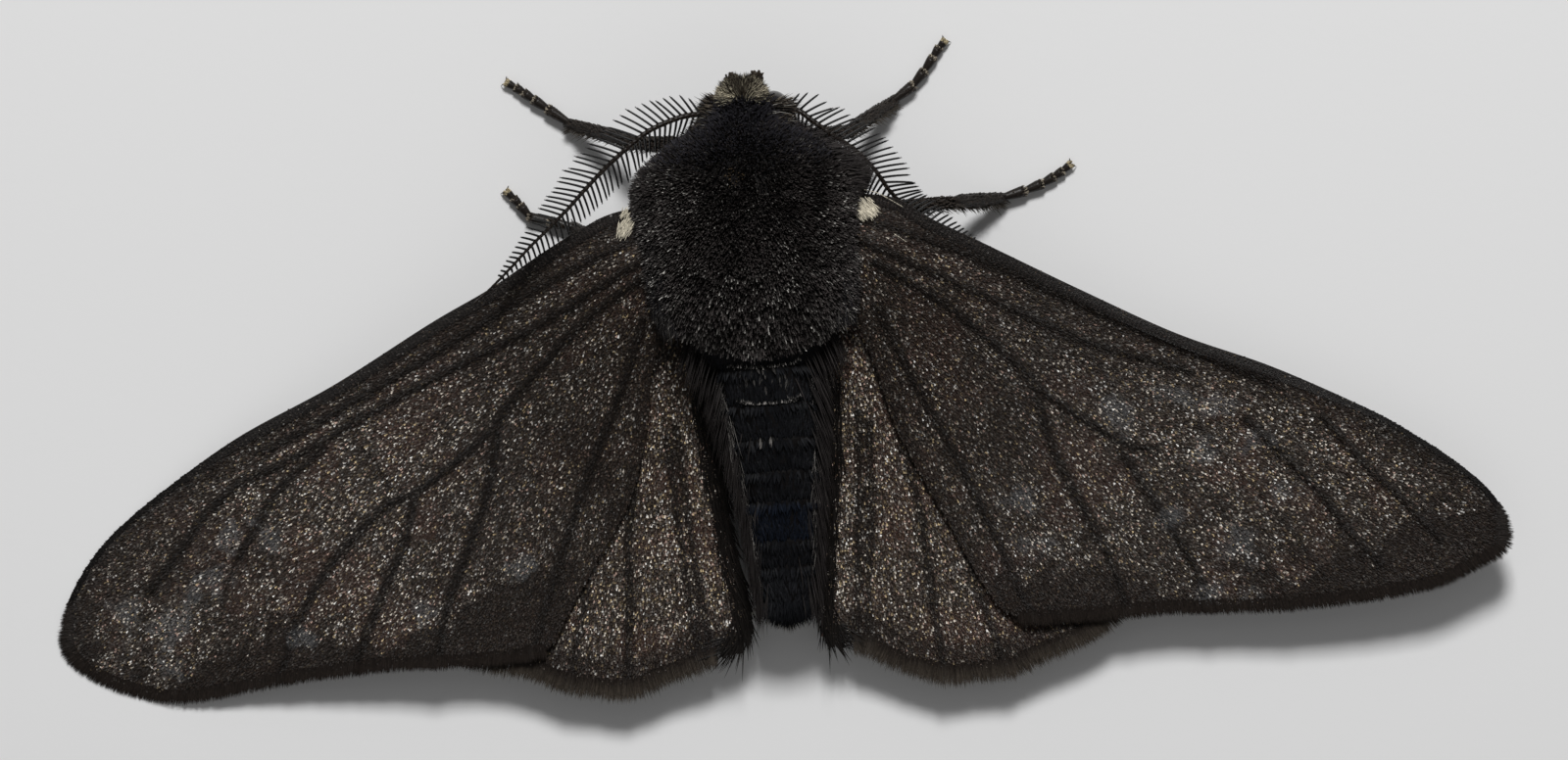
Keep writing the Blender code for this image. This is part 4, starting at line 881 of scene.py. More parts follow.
def buildSkin():
    # One skin for head, thorax and abdomen, a little uneven
    sides, rings = body["sides"], body["rings"]
    ys = np.linspace(body["front"], body["back"], rings)
    turns = np.linspace(0, 2 * np.pi, sides, endpoint=False)
    y, turn = [grid.ravel() for grid in np.meshgrid(ys, turns, indexing="ij")]
    points = bodyPoint(y, turn)
    swell = body["unevenBy"] * (cloud(np.stack((y, turn * 2.5), 1), 0.5, 40) - 0.5)
    points += bodyNormal(y, turn) * swell[:, None]
    quads, tris = ringFaces(rings, sides)
    ends = np.vstack((points[:sides].mean(0), points[-sides:].mean(0)))
    tint = np.broadcast_to(bodyTints["skin"], (len(points) + 2, 3))
    spots = bodySpot(y, turn)
    return {"points": np.vstack((points, ends)), "quads": quads, "tris": tris, "tint": tint,
            "map": np.vstack((spots, spots[:1], spots[-1:]))}


def bodyPlaces(count, low, high, random):
    # Evenly spread places on the skin, more where it is wide and fewer on the underside
    y = random.uniform(low, high, count * 4)
    turn = random.uniform(-np.pi, np.pi, count * 4)
    below = np.cos(turn) < -0.2
    keep = random.random(len(y)) < bodyHalf(y) / 3.6 * np.where(below, 0.5, 1.0)
    return y[keep][:count], turn[keep][:count]


def combed(y, turn, spread, lift, random):
    # The lie of the coat: backwards along the body, a little outwards, lifted off the skin
    normal = bodyNormal(y, turn)
    back = np.stack((spread * np.sin(turn), np.full(len(y), -1.0), np.zeros(len(y))), 1)
    back = unit(back - normal * (back * normal).sum(1)[:, None])
    side = np.cross(back, normal)
    back = unit(back + side * random.normal(0, 0.16, len(y))[:, None])
    lift = np.asarray(lift) * random.normal(1, 0.3, len(y))
    return unit(back + normal * lift[:, None]), normal


# tan is a small patch of brown scales as x, y and radius, dots are the middles of two pale flecks
thoraxCoat = {"scales": 48000, "rearEdge": -3.9, "length": 0.32, "rear": 0.42, "width": 0.04,
              "tan": (-0.55, 2.0, 0.62), "collarScales": 11000, "collarLength": 0.33, "collarWidth": 0.06,
              "flapHairs": 3200, "looseHairs": 4200}
abdomenCoat = {"hairs": 9000, "length": 0.4, "width": 0.1, "sideHairs": 3000, "greyGlintHairs": 320,
               "tailHairs": 1500, "dots": ((-0.3, -7.0), (0.05, -6.96)), "dotHairs": 16,
               "blueRing": (-8.9, -10.3), "firstRing": (-4.2, -5.1), "edgeScales": 200}


def thoraxFur():
    # Velvet of short standing scales seen from their tips, longer and lying back towards the rear
    random = np.random.default_rng(21)
    y, turn = bodyPlaces(thoraxCoat["scales"], thoraxCoat["rearEdge"], 3.6, random)
    kept = y > thoraxCoat["rearEdge"] + 0.13 * bodyPoint(y, turn)[:, 0] ** 2
    y, turn = y[kept], turn[kept]
    rear = ease(-y, 1.4, 3.4)
    along, normal = combed(y, turn, 0.35, 2.6 - 1.4 * rear, random)
    count = len(y)
    root = bodyPoint(y, turn) - normal * 0.05
    length = thoraxCoat["length"] + (thoraxCoat["rear"] - thoraxCoat["length"]) * rear
    length = length * uneven(random, count, 0.2, 0.5, 1.5)
    shade = uneven(random, count)[:, None]
    base = mixed(bodyTints["fur"], bodyTints["furWarm"], random.random(count))
    tip = bodyTints["furTip"] * shade * (0.35 + 1.25 * cloud(root[:, :2], 0.45, 45))[:, None]
    luck = random.random(count)
    shine = (0.85 * luck ** 17 + 0.05 * luck ** 3) * (0.2 + 1.6 * cloud(root[:, :2], 0.6, 43) ** 1.5)
    shine *= 0.25 + 0.75 * ease(3.0 - y, 0.0, 1.2)
    tip = mixed(tip, bodyTints["speck"], shine.clip(0, 1))
    x, middle, radius = thoraxCoat["tan"]
    away = np.hypot(root[:, 0] - x, (root[:, 1] - middle) * 1.2) + 0.5 * cloud(root[:, :2], 0.2, 44)
    tan = (away < radius) & (random.random(count) < 0.3)
    tip = np.where(tan[:, None], bodyTints["tan"] * 0.7 * shade, tip)
    grey = ease(-y, 1.8, 3.4) * ease(np.abs(root[:, 0] + 0.1), 0.8, 2.2) * (random.random(count) < 0.3)
    tip = mixed(tip, bodyTints["sideHair"] * shade, grey * 0.6)
    tip = mixed(tip, bodyTints["under"] * shade, ease(-np.cos(turn), 0.0, 0.6))
    width = thoraxCoat["width"] * uneven(random, count, 0.25, 0.5, 1.6)
    return flakes(root, along, normal, length, width, bodySpot(y, turn), base * shade, tip, thick=0.5)


def collarFur():
    # Smoother blue-black scales behind the head
    random = np.random.default_rng(22)
    y, turn = bodyPlaces(thoraxCoat["collarScales"], 2.1, 4.5, random)
    kept = random.random(len(y)) < ease(y, 2.0, 3.4)
    y, turn = y[kept], turn[kept]
    count = len(y)
    normal = bodyNormal(y, turn)
    outward = np.stack((np.sin(turn) * 0.6, np.full(count, -0.15), np.zeros(count)), 1)
    along = unit(outward + normal + random.normal(0, 0.16, (count, 3)))
    root = bodyPoint(y, turn) - normal * 0.04
    shade = uneven(random, count, 0.25, 0.5, 1.7)[:, None]
    speck = random.random((count, 1)) < 0.012
    tip = np.where(speck, bodyTints["speck"] * 0.15, bodyTints["collarTip"]) * shade
    length = random.normal(thoraxCoat["collarLength"], 0.06, count).clip(0.2, 0.5)
    return flakes(root, along, normal, length, thoraxCoat["collarWidth"],
                  bodySpot(y, turn), bodyTints["collar"] * shade, tip, thick=0.5)


def shoulderFlaps(random):
    # Shoulder flaps of long sleek hair scales sweep back over the roots of the wings
    count = thoraxCoat["flapHairs"]
    side = random.choice((-1.0, 1.0), count)
    y = random.uniform(-2.6, 1.2, count)
    turn = side * random.uniform(1.0, 1.6, count)
    normal = bodyNormal(y, turn)
    root = bodyPoint(y, turn) - normal * 0.05
    back = np.stack((side * random.normal(0.02, 0.08, count), np.full(count, -1.0),
                     random.normal(0.02, 0.08, count)), 1)
    shade = uneven(random, count)[:, None]
    grey = (random.random(count) < 0.12 + 0.3 * ease(-y, 1.2, 2.4))[:, None]
    tip = np.where(grey, bodyTints["sideHair"] * 0.7, bodyTints["collarTip"]) * shade
    length = random.normal(0.8, 0.15, count).clip(0.4, 1.2)
    return hairs(root, unit(back + normal * 0.3), normal, length, 0.05, bodySpot(y, turn),
                 bodyTints["fur"] * shade, tip, bend=-0.2, rings=(0.6, 1.0))


def shoulderFur(random):
    # Looser fur stands out sideways in front of the wings, further on the right under the feeler
    count = thoraxCoat["looseHairs"]
    side = random.choice((-1.0, 1.0, 1.0), count)
    y = random.uniform(0.9, 3.75, count)
    turn = side * random.uniform(1.1, 1.75, count)
    normal = bodyNormal(y, turn)
    root = bodyPoint(y, turn) - normal * 0.05
    out = np.stack((side, 0.15 + random.normal(-0.1, 0.2, count) * np.where(side > 0, 1.0, 2.0),
                    random.normal(-0.12, 0.1, count)), 1)
    length = np.where(side > 0, 0.5 + 0.55 * ease(y, 0.8, 2.0) * ease(-y, -4.2, -3.0), 0.42)
    shade = uneven(random, count)[:, None]
    tip = np.where(random.random((count, 1)) < 0.05, bodyTints["sideHair"] * 0.6, bodyTints["furTip"])
    length = length * uneven(random, count, 0.12, 0.5, 1.3)
    return hairs(root, unit(out), normal, length, 0.045, bodySpot(y, turn), bodyTints["fur"] * shade,
                 tip * shade, bend=-0.1, sway=random.normal(0, 0.05, count))


def abdomenScales():
    # Short scales lie flat along the rings, some of which are bluer, greyer or specked
    random = np.random.default_rng(24)
    y, turn = bodyPlaces(abdomenCoat["hairs"], -12.9, -3.6, random)
    along, normal = combed(y, turn, 0.05, 0.2, random)
    count = len(y)
    root = bodyPoint(y, turn) - normal * 0.03
    shade = uneven(random, count, 0.28)[:, None]
    offset = root[:, 0] - bodyMiddle(y)
    line = y - 0.1 * offset ** 2
    blue = (line < abdomenCoat["blueRing"][0]) & (line > abdomenCoat["blueRing"][1])
    tip = np.where(blue[:, None], bodyTints["blueRing"], bodyTints["abdomenTip"]) * shade
    tip = mixed(tip, bodyTints["lastRing"] * shade, ease(-line, 10.9, 11.8))
    first = (line < abdomenCoat["firstRing"][0]) & (line > abdomenCoat["firstRing"][1])
    first &= (np.abs(offset) < 0.9) & (random.random(count) < 0.3)
    tip = np.where(first[:, None], bodyTints["ringEdge"] * 0.4 * random.random((count, 1)), tip)
    tip = mixed(tip, bodyTints["under"] * shade, ease(-np.cos(turn), 0.1, 0.7))
    length = random.normal(abdomenCoat["length"], 0.06, count)
    blocks = [hairs(root, along, normal, length, abdomenCoat["width"], bodySpot(y, turn),
                    bodyTints["abdomen"] * shade, tip, bend=-0.12, rings=(0.75, 1.0))]
    # Pale scales stand along the rear edges of the first rings
    for joint, pale in body["joints"]:
        count = int(pale * abdomenCoat["edgeScales"])
        offset = random.uniform(-1.35, 1.35, count)
        y = joint + 0.1 * offset ** 2 + random.normal(0, 0.035, count)
        turn = np.arcsin(offset / 2.2)
        normal = bodyNormal(y, turn)
        back = np.array((0, -1.0, 0)) + random.normal(0, 0.2, (count, 3))
        tip = bodyTints["ringEdge"] * (random.random((count, 1)) ** 3 * 1.2)
        root = bodyPoint(y, turn) + normal * 0.07
        blocks.append(flakes(root, unit(back + normal * 0.3), normal, 0.12, 0.05, bodySpot(y, turn),
                             tip * 0.5, tip))
    return joined(blocks)


def sideHairs(random, pale):
    # Dark hair fills the gap between body and wings, and a few long grey hairs with painted glints slant over
    # it
    count = abdomenCoat["greyGlintHairs" if pale else "sideHairs"]
    side = random.choice((-1.0, 1.0), count)
    if pale:
        y = -4.4 - 6.0 * random.random(count) ** 1.3
        turn = side * random.normal(1.25, 0.1, count)
        # The long grey hairs are brightened far past their own grey: painted glints
        lean, width, tip = random.normal(-0.2, 0.06, count), 0.026, bodyTints["sideHair"] * 1.7
    else:
        y = random.uniform(-12.4, -3.4, count)
        turn = side * random.normal(1.45, 0.25, count)
        lean, width, tip = 0.1 + 0.3 * ease(y, -9.0, -4.0), 0.045, bodyTints["furTip"] * 0.7
    normal = bodyNormal(y, turn)
    root = bodyPoint(y, turn) - normal * 0.04
    back = np.stack((side * lean, np.full(count, -1.0), random.normal(0.03, 0.06, count)), 1)
    shade = uneven(random, count)[:, None]
    length = random.normal(1.1, 0.25, count).clip(0.4, 1.7)
    return hairs(root, unit(back + normal * 0.15), normal, length, width, bodySpot(y, turn),
                 tip * 0.5 * shade, tip * shade, bend=-0.08, sway=side * 0.05, rings=(0.7, 1.0, 0.7))


def tailHairs(random):
    # A short tuft ends the body, pale at its sides and below
    count = abdomenCoat["tailHairs"]
    y = random.uniform(-12.93, -12.4, count)
    turn = random.uniform(-np.pi, np.pi, count)
    normal = bodyNormal(y, turn)
    root = bodyPoint(y, turn) - normal * 0.04
    back = np.stack((0.3 * np.sin(turn) + random.normal(0, 0.12, count), np.full(count, -1.0),
                     random.normal(0, 0.1, count)), 1)
    atSides = ease(np.abs(turn), 1.2, 1.6) * (y > -12.65)
    back[:, 0] += 0.5 * np.sin(turn) * atSides
    pale = (random.random(count) < 0.9 * ease(np.abs(turn), 1.6, 2.1) + 0.8 * atSides)[:, None]
    tip = np.where(pale, bodyTints["tailHair"], bodyTints["abdomenTip"])
    length = random.normal(0.6, 0.08, count).clip(0.2, 0.8)
    return hairs(root, unit(back + normal * 0.2), normal, length, 0.028, bodySpot(y, turn),
                 bodyTints["abdomenTip"], tip, rings=(0.7, 1.0, 0.7))


def ringDot(random, x, low):
    # One of two small pale flecks side by side on the third ring
    count = abdomenCoat["dotHairs"]
    y = low + random.normal(0, 0.06, count)
    turn = np.arcsin((x + random.normal(0, 0.025, count) - 0.2) / 1.7)
    normal = bodyNormal(y, turn)
    tip = bodyTints["ringEdge"] * random.uniform(0.3, 0.9, (count, 1))
    return hairs(bodyPoint(y, turn) + normal * 0.06, np.array((-0.15, -1.0, 0)) + normal * 0.3, normal,
                 0.18, 0.03, bodySpot(y, turn), tip * 0.5, tip)


def abdomenHairs():
    random = np.random.default_rng(25)
    blocks = [sideHairs(random, False), sideHairs(random, True), tailHairs(random)]
    return joined(blocks + [ringDot(random, x, low) for x, low in abdomenCoat["dots"]])


addPiece("body_skin", buildSkin(), furScale, ("thorax", "abdomen", "head"))
addPiece("thorax_fur", thoraxFur(), furScale, smooth=False)
shoulderRandom = np.random.default_rng(23)
shoulders = [shoulderFlaps(shoulderRandom), shoulderFur(shoulderRandom)]
addPiece("collar_and_shoulder_fur", joined([collarFur()] + shoulders), furScale, smooth=False)
addPiece("abdomen_scales", abdomenScales(), furScale, smooth=False)
addPiece("abdomen_hair", abdomenHairs(), furScale, smooth=False)
print("body done")

# Head

head = {"eyeRadius": 0.6, "eyeAt": (1.02, 4.2, 3.55), "tuftMiddle": (-0.1, 4.44), "tuftReach": 1.07,
        "notch": 0.2, "notchAt": 0.04, "tuftHairs": 2800, "baseTuftHairs": 2000, "faceScales": 1500,
        "palp": ((0.32, 4.55, 3.0), (0.4, 4.92, 2.85), (0.42, 5.18, 2.98)), "palpRadius": 0.15,
        "palpScales": 420, "tongueAt": (0, 4.9, 2.8), "tongueRadii": (0.26, 0.07),
        "tongueThick": (0.055, 0.025)}


def buildEye(side):
    mesh = bpy.data.meshes.new("eye")
    shape = bmesh.new()
    bmesh.ops.create_icosphere(shape, subdivisions=5, radius=head["eyeRadius"])
    shape.to_mesh(mesh)
    shape.free()
    points = np.empty(len(mesh.vertices) * 3, np.float32)
    mesh.vertices.foreach_get("co", points)
    points = points.reshape(-1, 3)
    tris = np.array([face.vertices[:] for face in mesh.polygons])
    bpy.data.meshes.remove(mesh)
    spots = np.stack((np.arctan2(points[:, 0], points[:, 1]) / 7 + 0.5, points[:, 2] / 1.6 + 0.5), 1)
    x, y, z = head["eyeAt"]
    points = points * (0.92, 1.0, 1.0) + (side * x - 0.08, y, z)
    return {"points": points, "tris": tris, "map": spots,
            "tint": np.broadcast_to(bodyTints["skin"], points.shape)}


def headSpot(points):
    return bodySpot(points[:, 1], np.arctan2(points[:, 0], points[:, 2] - 3.75))


def headTuft():
    # Bristle scales fan out over the forehead in two lobes, dark-tipped, with cream ones at both sides
    random = np.random.default_rng(31)
    count = head["tuftHairs"]
    fan = random.uniform(-1.4, 1.4, count)
    wide = np.abs(fan)
    reach = head["tuftReach"] - head["notch"] * np.exp(-((fan - head["notchAt"]) / 0.12) ** 2)
    reach -= 0.04 * ease(wide, 0.8, 1.4)
    reach *= random.normal(0.97, 0.06, count).clip(0.75, 1.08)
    begins = reach * random.uniform(0.12, 0.78, count)
    out = np.stack((np.sin(fan), np.cos(fan)), 1)
    place = np.array(head["tuftMiddle"]) + out * begins[:, None]
    y = np.minimum(place[:, 1], 4.98)
    turn = np.arcsin(np.clip((place[:, 0] + 0.1) / bodyHalf(y), -0.9, 0.9))
    root = bodyPoint(y, turn)
    root[:, :2] = place
    normal = bodyNormal(y, turn)
    rise = random.uniform(0.0, 0.9, count)
    along = np.column_stack((out + random.normal(0, 0.26, out.shape), rise))
    cream = (random.random(count) < 0.16 + 0.5 * ease(wide, 0.4, 0.9))[:, None]
    shade = uneven(random, count, 0.3, 0.4, 1.7)[:, None]
    base = np.where(cream, bodyTints["cream"], bodyTints["tuftMiddle"] * 0.75) * shade
    dark = (random.random(count) < 0.75 - 0.35 * ease(wide, 0.5, 1.0))[:, None]
    tip = np.where(dark, bodyTints["tuftTip"], base)
    return hairs(root - normal * 0.03, along, normal, (reach - begins).clip(0.15, 0.6), 0.03, headSpot(root),
                 base * 0.8, tip, bend=-0.1, sway=random.normal(0, 0.08, count), rings=(0.8, 1.0, 0.9, 0.6))


def feelerTufts():
    # Dark tufts with pale flecks stand where the feelers leave the head, and hide the eyes from above
    random = np.random.default_rng(32)
    count = head["baseTuftHairs"]
    side = random.choice((-1.0, 1.0), count)
    ahead = random.random(count) < 0.45
    y = np.where(ahead, random.uniform(4.1, 4.45, count) - 0.1 * side, random.uniform(3.6, 4.35, count))
    turn = side * np.where(ahead, random.uniform(0.7, 1.15, count), random.uniform(0.6, 1.45, count))
    root = bodyPoint(y, turn)
    normal = bodyNormal(y, turn)
    forward = np.where(ahead, random.normal(0.22, 0.16, count) - 0.18 * side, random.normal(0.1, 0.2, count))
    along = np.stack((side * random.normal(0.9, 0.15, count), forward, random.normal(0.05, 0.12, count)), 1)
    luck = random.random((count, 1))
    tip = np.where(luck < 0.25, bodyTints["tuftMiddle"], bodyTints["tuftTip"])
    tip = np.where(luck < 0.05, bodyTints["white"] * 0.5, tip)
    length = np.where(ahead, random.normal(0.74, 0.12, count) + 0.26 * side, random.normal(0.66, 0.1, count))
    return hairs(root - normal * 0.03, along, normal, length.clip(0.2, 1.2), 0.04, headSpot(root),
                 bodyTints["fur"], tip, bend=-0.12, sway=random.normal(0, 0.06, count))


def faceScales():
    # The face under the tuft is covered with short scales that lie downwards
    random = np.random.default_rng(33)
    count = head["faceScales"]
    y = random.uniform(3.6, 5.06, count)
    turn = random.uniform(0.9, 2 * np.pi - 0.9, count)
    normal = bodyNormal(y, turn)
    root = bodyPoint(y, turn)
    down = np.array((0, 0.1, -1.0)) + normal * normal[:, 2:3]
    shade = uneven(random, count, 0.3, 0.5, 1.7)[:, None]
    along = unit(down + normal * 0.3 + random.normal(0, 0.15, (count, 3)))
    return flakes(root - normal * 0.02, along, normal, 0.24, 0.1, headSpot(root),
                  bodyTints["fur"] * shade, bodyTints["under"] * shade)


def palpPieces(side):
    # Short scaled palps stand under the face
    steps, radius = 16, head["palpRadius"]
    line = smoothLine([(side * x, y, z) for x, y, z in head["palp"]], steps)
    share = np.linspace(0, 1, steps)
    core = tube(line, radius * np.sqrt(np.clip(1.02 - share ** 2, 0, 1)) + 0.01, 12, bodyTints["under"])
    coat = tubeCoat(line, np.full(steps, radius), head["palpScales"], 0.26, 0.09, 34 + side,
                    bodyTints["fur"], bodyTints["under"], headSpot)
    return [core, coat]


def tubeCoat(line, radii, count, length, width, seed, rootTint, tipTint, spotOf, lift=0.3):
    # Scales on a round limb, lying towards its end
    random = np.random.default_rng(seed)
    at = random.random(count) * (len(line) - 1.001)
    middle, cell = alongLine(line, at)
    radius = np.interp(at, np.arange(len(line)), radii)[:, None]
    along = unit(np.gradient(line, axis=0))[cell]
    side = unit(np.cross(along, np.array((0, 0, 1.0))))
    over = np.cross(side, along)
    turn = random.uniform(0, 2 * np.pi, count)[:, None]
    normal = side * np.cos(turn) + over * np.sin(turn)
    root = middle + normal * (radius - 0.02)
    shade = uneven(random, count, 0.3, 0.4, 1.8)[:, None]
    heading = unit(along + normal * (lift * random.normal(1, 0.3, count))[:, None])
    sizes = uneven(random, count, 0.15, 0.6, 1.5)
    return flakes(root, heading, normal, length * sizes, width * sizes, spotOf(root),
                  rootTint * shade, tipTint * shade)


def tongue():
    # A short coiled tongue between the palps
    steps = 90
    turn = np.linspace(0, 3.6 * np.pi, steps)
    radius = np.linspace(*head["tongueRadii"], steps)
    x, y, z = head["tongueAt"]
    line = np.stack((np.full(steps, x), y + radius * np.cos(turn), z + radius * np.sin(turn)), 1)
    return tube(line, np.linspace(*head["tongueThick"], steps), 10, bodyTints["under"], lean=(1, 0, 0.0))


for side, word in ((-1, "left"), (1, "right")):
    addPiece("eye_" + word + "_cornea", buildEye(side), cornea, ("eye_" + word,))
addPiece("head_tuft", joined([headTuft(), feelerTufts()]), furScale, smooth=False)
face = joined([faceScales()] + palpPieces(-1) + palpPieces(1))
addPiece("face_scales", face, furScale, smooth=False)
addPiece("tongue_coil", tongue(), hornCuticle)
print("head done")

# Feelers

feelers = {
    "left": ((-0.7, 4.2, 4.1), (-1.61, 4.15, 4.4), (-2.35, 4.04, 4.6), (-3.37, 3.65, 4.7), (-4.41, 2.9, 4.7),
             (-5.3, 2.14, 4.6), (-6.19, 1.28, 4.55), (-6.89, 0.66, 4.5), (-7.6, 0.05, 4.45),
             (-8.31, -0.62, 4.42), (-9.01, -1.24, 4.4), (-9.57, -1.69, 4.38)),
    "right": ((0.6, 4.2, 4.1), (1.68, 4.05, 4.45), (2.25, 3.62, 4.6), (2.87, 3.12, 4.58), (3.44, 2.69, 4.4),
              (3.94, 2.2, 4.1), (4.31, 1.72, 3.9), (4.67, 1.13, 3.7), (5.2, 0.55, 3.4), (6.2, -0.1, 3.1),
              (7.4, -0.85, 2.75), (8.6, -1.6, 2.4))}
# How long the comb's teeth are at each share of the feeler, in front of it and behind it
teeth = {"front": ((0, 0.05, 0.1, 0.16, 0.23, 0.42, 0.5, 0.56, 0.65, 0.74, 0.78, 0.83, 0.88),
                   (0.27, 0.47, 0.8, 0.97, 1.1, 1.13, 1.03, 0.93, 0.7, 0.47, 0.37, 0.27, 0.1)),
         "back": ((0, 0.04, 0.08, 0.23, 0.35, 0.42, 0.56, 0.65, 0.7, 0.76, 0.8, 0.84),
                  (0.2, 0.33, 0.67, 0.8, 0.97, 0.9, 0.73, 0.67, 0.57, 0.4, 0.27, 0.13))}
toothRings = (1.0, 0.98, 0.95, 0.92, 0.88, 0.84, 0.8, 0.75)  # how a tooth tapers
feelerLook = {"segments": 54, "perSegment": 6, "radii": (0.095, 0.085, 0.035), "scaled": 0.92, "scales": 1500,
              "combBegins": 0.07, "combEnds": 0.88, "slant": 0.48, "droop": -0.12, "combWidth": 0.085,
              "toothSway": 0.07, "cilia": 10, "ciliaLength": 0.05, "ciliaWidth": 0.014,
              "shaft": linear("#1a1410"), "shaftScale": linear("#3d352d"), "comb": linear("#070606")}


def feelerSpot(points):
    return np.stack((np.abs(points[:, 0]) / 10.5, (points[:, 1] + 2.5) / 9), 1)


def toothRow(line, radii, facing, lengths, random):
    # One side of the comb: a bristle for each segment, with fine hairs along it
    look = feelerLook
    share = np.arange(look["segments"]) / look["segments"]
    kept = (share > look["combBegins"]) & (share < look["combEnds"])
    share, at = share[kept], np.flatnonzero(kept) * look["perSegment"] + look["perSegment"] // 2
    along = unit(np.gradient(line, axis=0))[at]
    flat = unit(np.cross(along, (0, 0, 1.0))) * facing
    length = np.interp(share, *lengths) * random.normal(1, 0.03, len(share))
    heading = flat + along * look["slant"] + np.array((0, 0, look["droop"]))
    heading = unit(heading + random.normal(0, 0.04, along.shape))
    root = line[at] + flat * radii[at][:, None] * 0.5
    up = np.broadcast_to((0, 0, 1.0), root.shape)
    sideways = unit(np.cross(heading, up))
    sway = look["toothSway"] * np.sign((sideways * along).sum(1))
    bristles = hairs(root, heading, up, length, look["combWidth"], feelerSpot(root), look["comb"],
                     look["comb"], bend=-0.05, sway=sway, rings=toothRings, thick=0.8)
    each = look["cilia"]
    number = np.repeat(np.arange(len(share)), each * 2)
    spot = np.tile(np.repeat(np.linspace(0.12, 0.95, each), 2), len(share))
    lean = np.tile((1.0, -1.0), each * len(share))
    ahead = heading[number] * spot[:, None] + sideways[number] * (sway[number] * spot ** 2)[:, None]
    place = root[number] + length[number][:, None] * ahead
    ray = heading[number] * 0.5 + sideways[number] * lean[:, None] + random.normal(0, 0.2, place.shape)
    cilia = hairs(place, ray, up[number], look["ciliaLength"], look["ciliaWidth"], feelerSpot(place),
                  look["comb"], look["comb"] * 1.6, rings=(1.0,), thick=0.8)
    return [bristles, cilia]


def buildFeeler(word, side):
    # The shaft swells in each segment and has scales on all but its end
    look = feelerLook
    count = look["segments"] * look["perSegment"]
    line = smoothLine(feelers[word], count)
    radii = np.interp(np.linspace(0, 1, count), (0, 0.25, 1), look["radii"])
    phase = np.arange(count) % look["perSegment"] / look["perSegment"]
    radii = radii * (0.84 + 0.24 * np.sin(np.pi * phase) ** 0.6)
    covered = int(count * look["scaled"])
    scales = tubeCoat(line[:covered], radii[:covered], look["scales"], 0.1, 0.045, 50 + side,
                      look["shaft"] * 0.8, look["shaftScale"], feelerSpot, lift=0.15)
    random = np.random.default_rng(60 + side)
    blocks = [tube(line, radii, 14, look["shaft"]), scales]
    blocks += toothRow(line, radii, -side, teeth["front"], random)
    blocks += toothRow(line, radii, side, teeth["back"], random)
    addPiece("feeler_" + word, joined(blocks), hornCuticle, ("antenna_" + word,))


buildFeeler("left", -1)
buildFeeler("right", 1)
print("feelers done")

# Legs: coxa, trochanter, knee, ankle, and the ends of the five joints of the foot

legs = {
    "leg_fore_right": ((0.7, 2.3, 2.2), (1.3, 3.1, 1.25), (3.4, 3.3, 1.95), (5.0, 4.26, 0.35),
                       (5.74, 4.75, 0.27), (6.14, 5.19, 0.24), (6.48, 5.64, 0.22), (6.7, 5.94, 0.2),
                       (6.92, 6.18, 0.18)),
    "leg_mid_right": ((1.1, 0.1, 1.9), (1.9, 0.5, 0.95), (6.73, 0.66, 1.95), (8.5, 0.71, 0.4),
                      (9.31, 0.9, 0.28), (9.89, 1.09, 0.25), (10.3, 1.28, 0.22), (10.6, 1.45, 0.2),
                      (10.92, 1.67, 0.18)),
    "leg_hind_right": ((1, -1.9, 1.9), (1.8, -2.5, 1), (4.4, -4.4, 1.6), (5.3, -8, 0.3), (5.68, -8.93, 0.25),
                       (5.92, -9.51, 0.23), (6.13, -10.0, 0.22), (6.31, -10.44, 0.2), (6.5, -10.9, 0.18)),
    "leg_fore_left": ((-0.8, 2.3, 2.2), (-1.3, 3.1, 1.25), (-3.7, 3.4, 1.95), (-6.04, 4.28, 0.35),
                      (-6.74, 4.81, 0.27), (-7.18, 5.15, 0.24), (-7.5, 5.41, 0.22), (-7.75, 5.6, 0.2),
                      (-8.08, 5.82, 0.18)),
    "leg_mid_left": ((-1.1, 0.1, 1.9), (-1.9, 0.5, 0.95), (-5.0, 0.0, 1.9), (-6.1, 0.7, 0.4),
                     (-6.95, 0.98, 0.28), (-7.63, 1.17, 0.25), (-7.9, 1.55, 0.22), (-8.1, 1.8, 0.2),
                     (-8.34, 2.07, 0.18))}
# The hind legs, hidden under the wings, mirror each other
legs["leg_hind_left"] = tuple((-x, y, z) for x, y, z in legs["leg_hind_right"])
spurPlaces = {"fore": (), "mid": (0.97,), "hind": (0.55, 0.97)}  # where pairs of spurs stand on a shin
legLook = {"coxa": 0.4, "femur": 0.26, "tibia": 0.2, "tarsus": (0.175, 0.165, 0.155, 0.145, 0.13),
           "limbScales": (500, 1500, 1300), "hairs": 800, "hairOnShin": 0.62, "lowestHair": 0.06,
           "dark": linear("#1c1713"), "scale": linear("#332d28"), "ring": linear("#8c8374"),
           "foot": linear("#a39679"), "hair": linear("#26211c"), "hairTip": linear("#4c4741"),
           "claw": linear("#1a120c")}


def legSpot(points):
    return np.stack(((points[:, 0] + 11.5) / 23, (points[:, 1] + 11.5) / 18.5), 1)


def limb(a, b, thickA, thickMid, thickB, steps=18):
    share = np.linspace(0, 1, steps)
    places, thick = (0, 0.08, 0.45, 0.94, 1), (thickA * 0.7, thickA, thickMid, thickB, thickB * 0.75)
    return a + (b - a) * share[:, None], np.interp(share, places, thick)


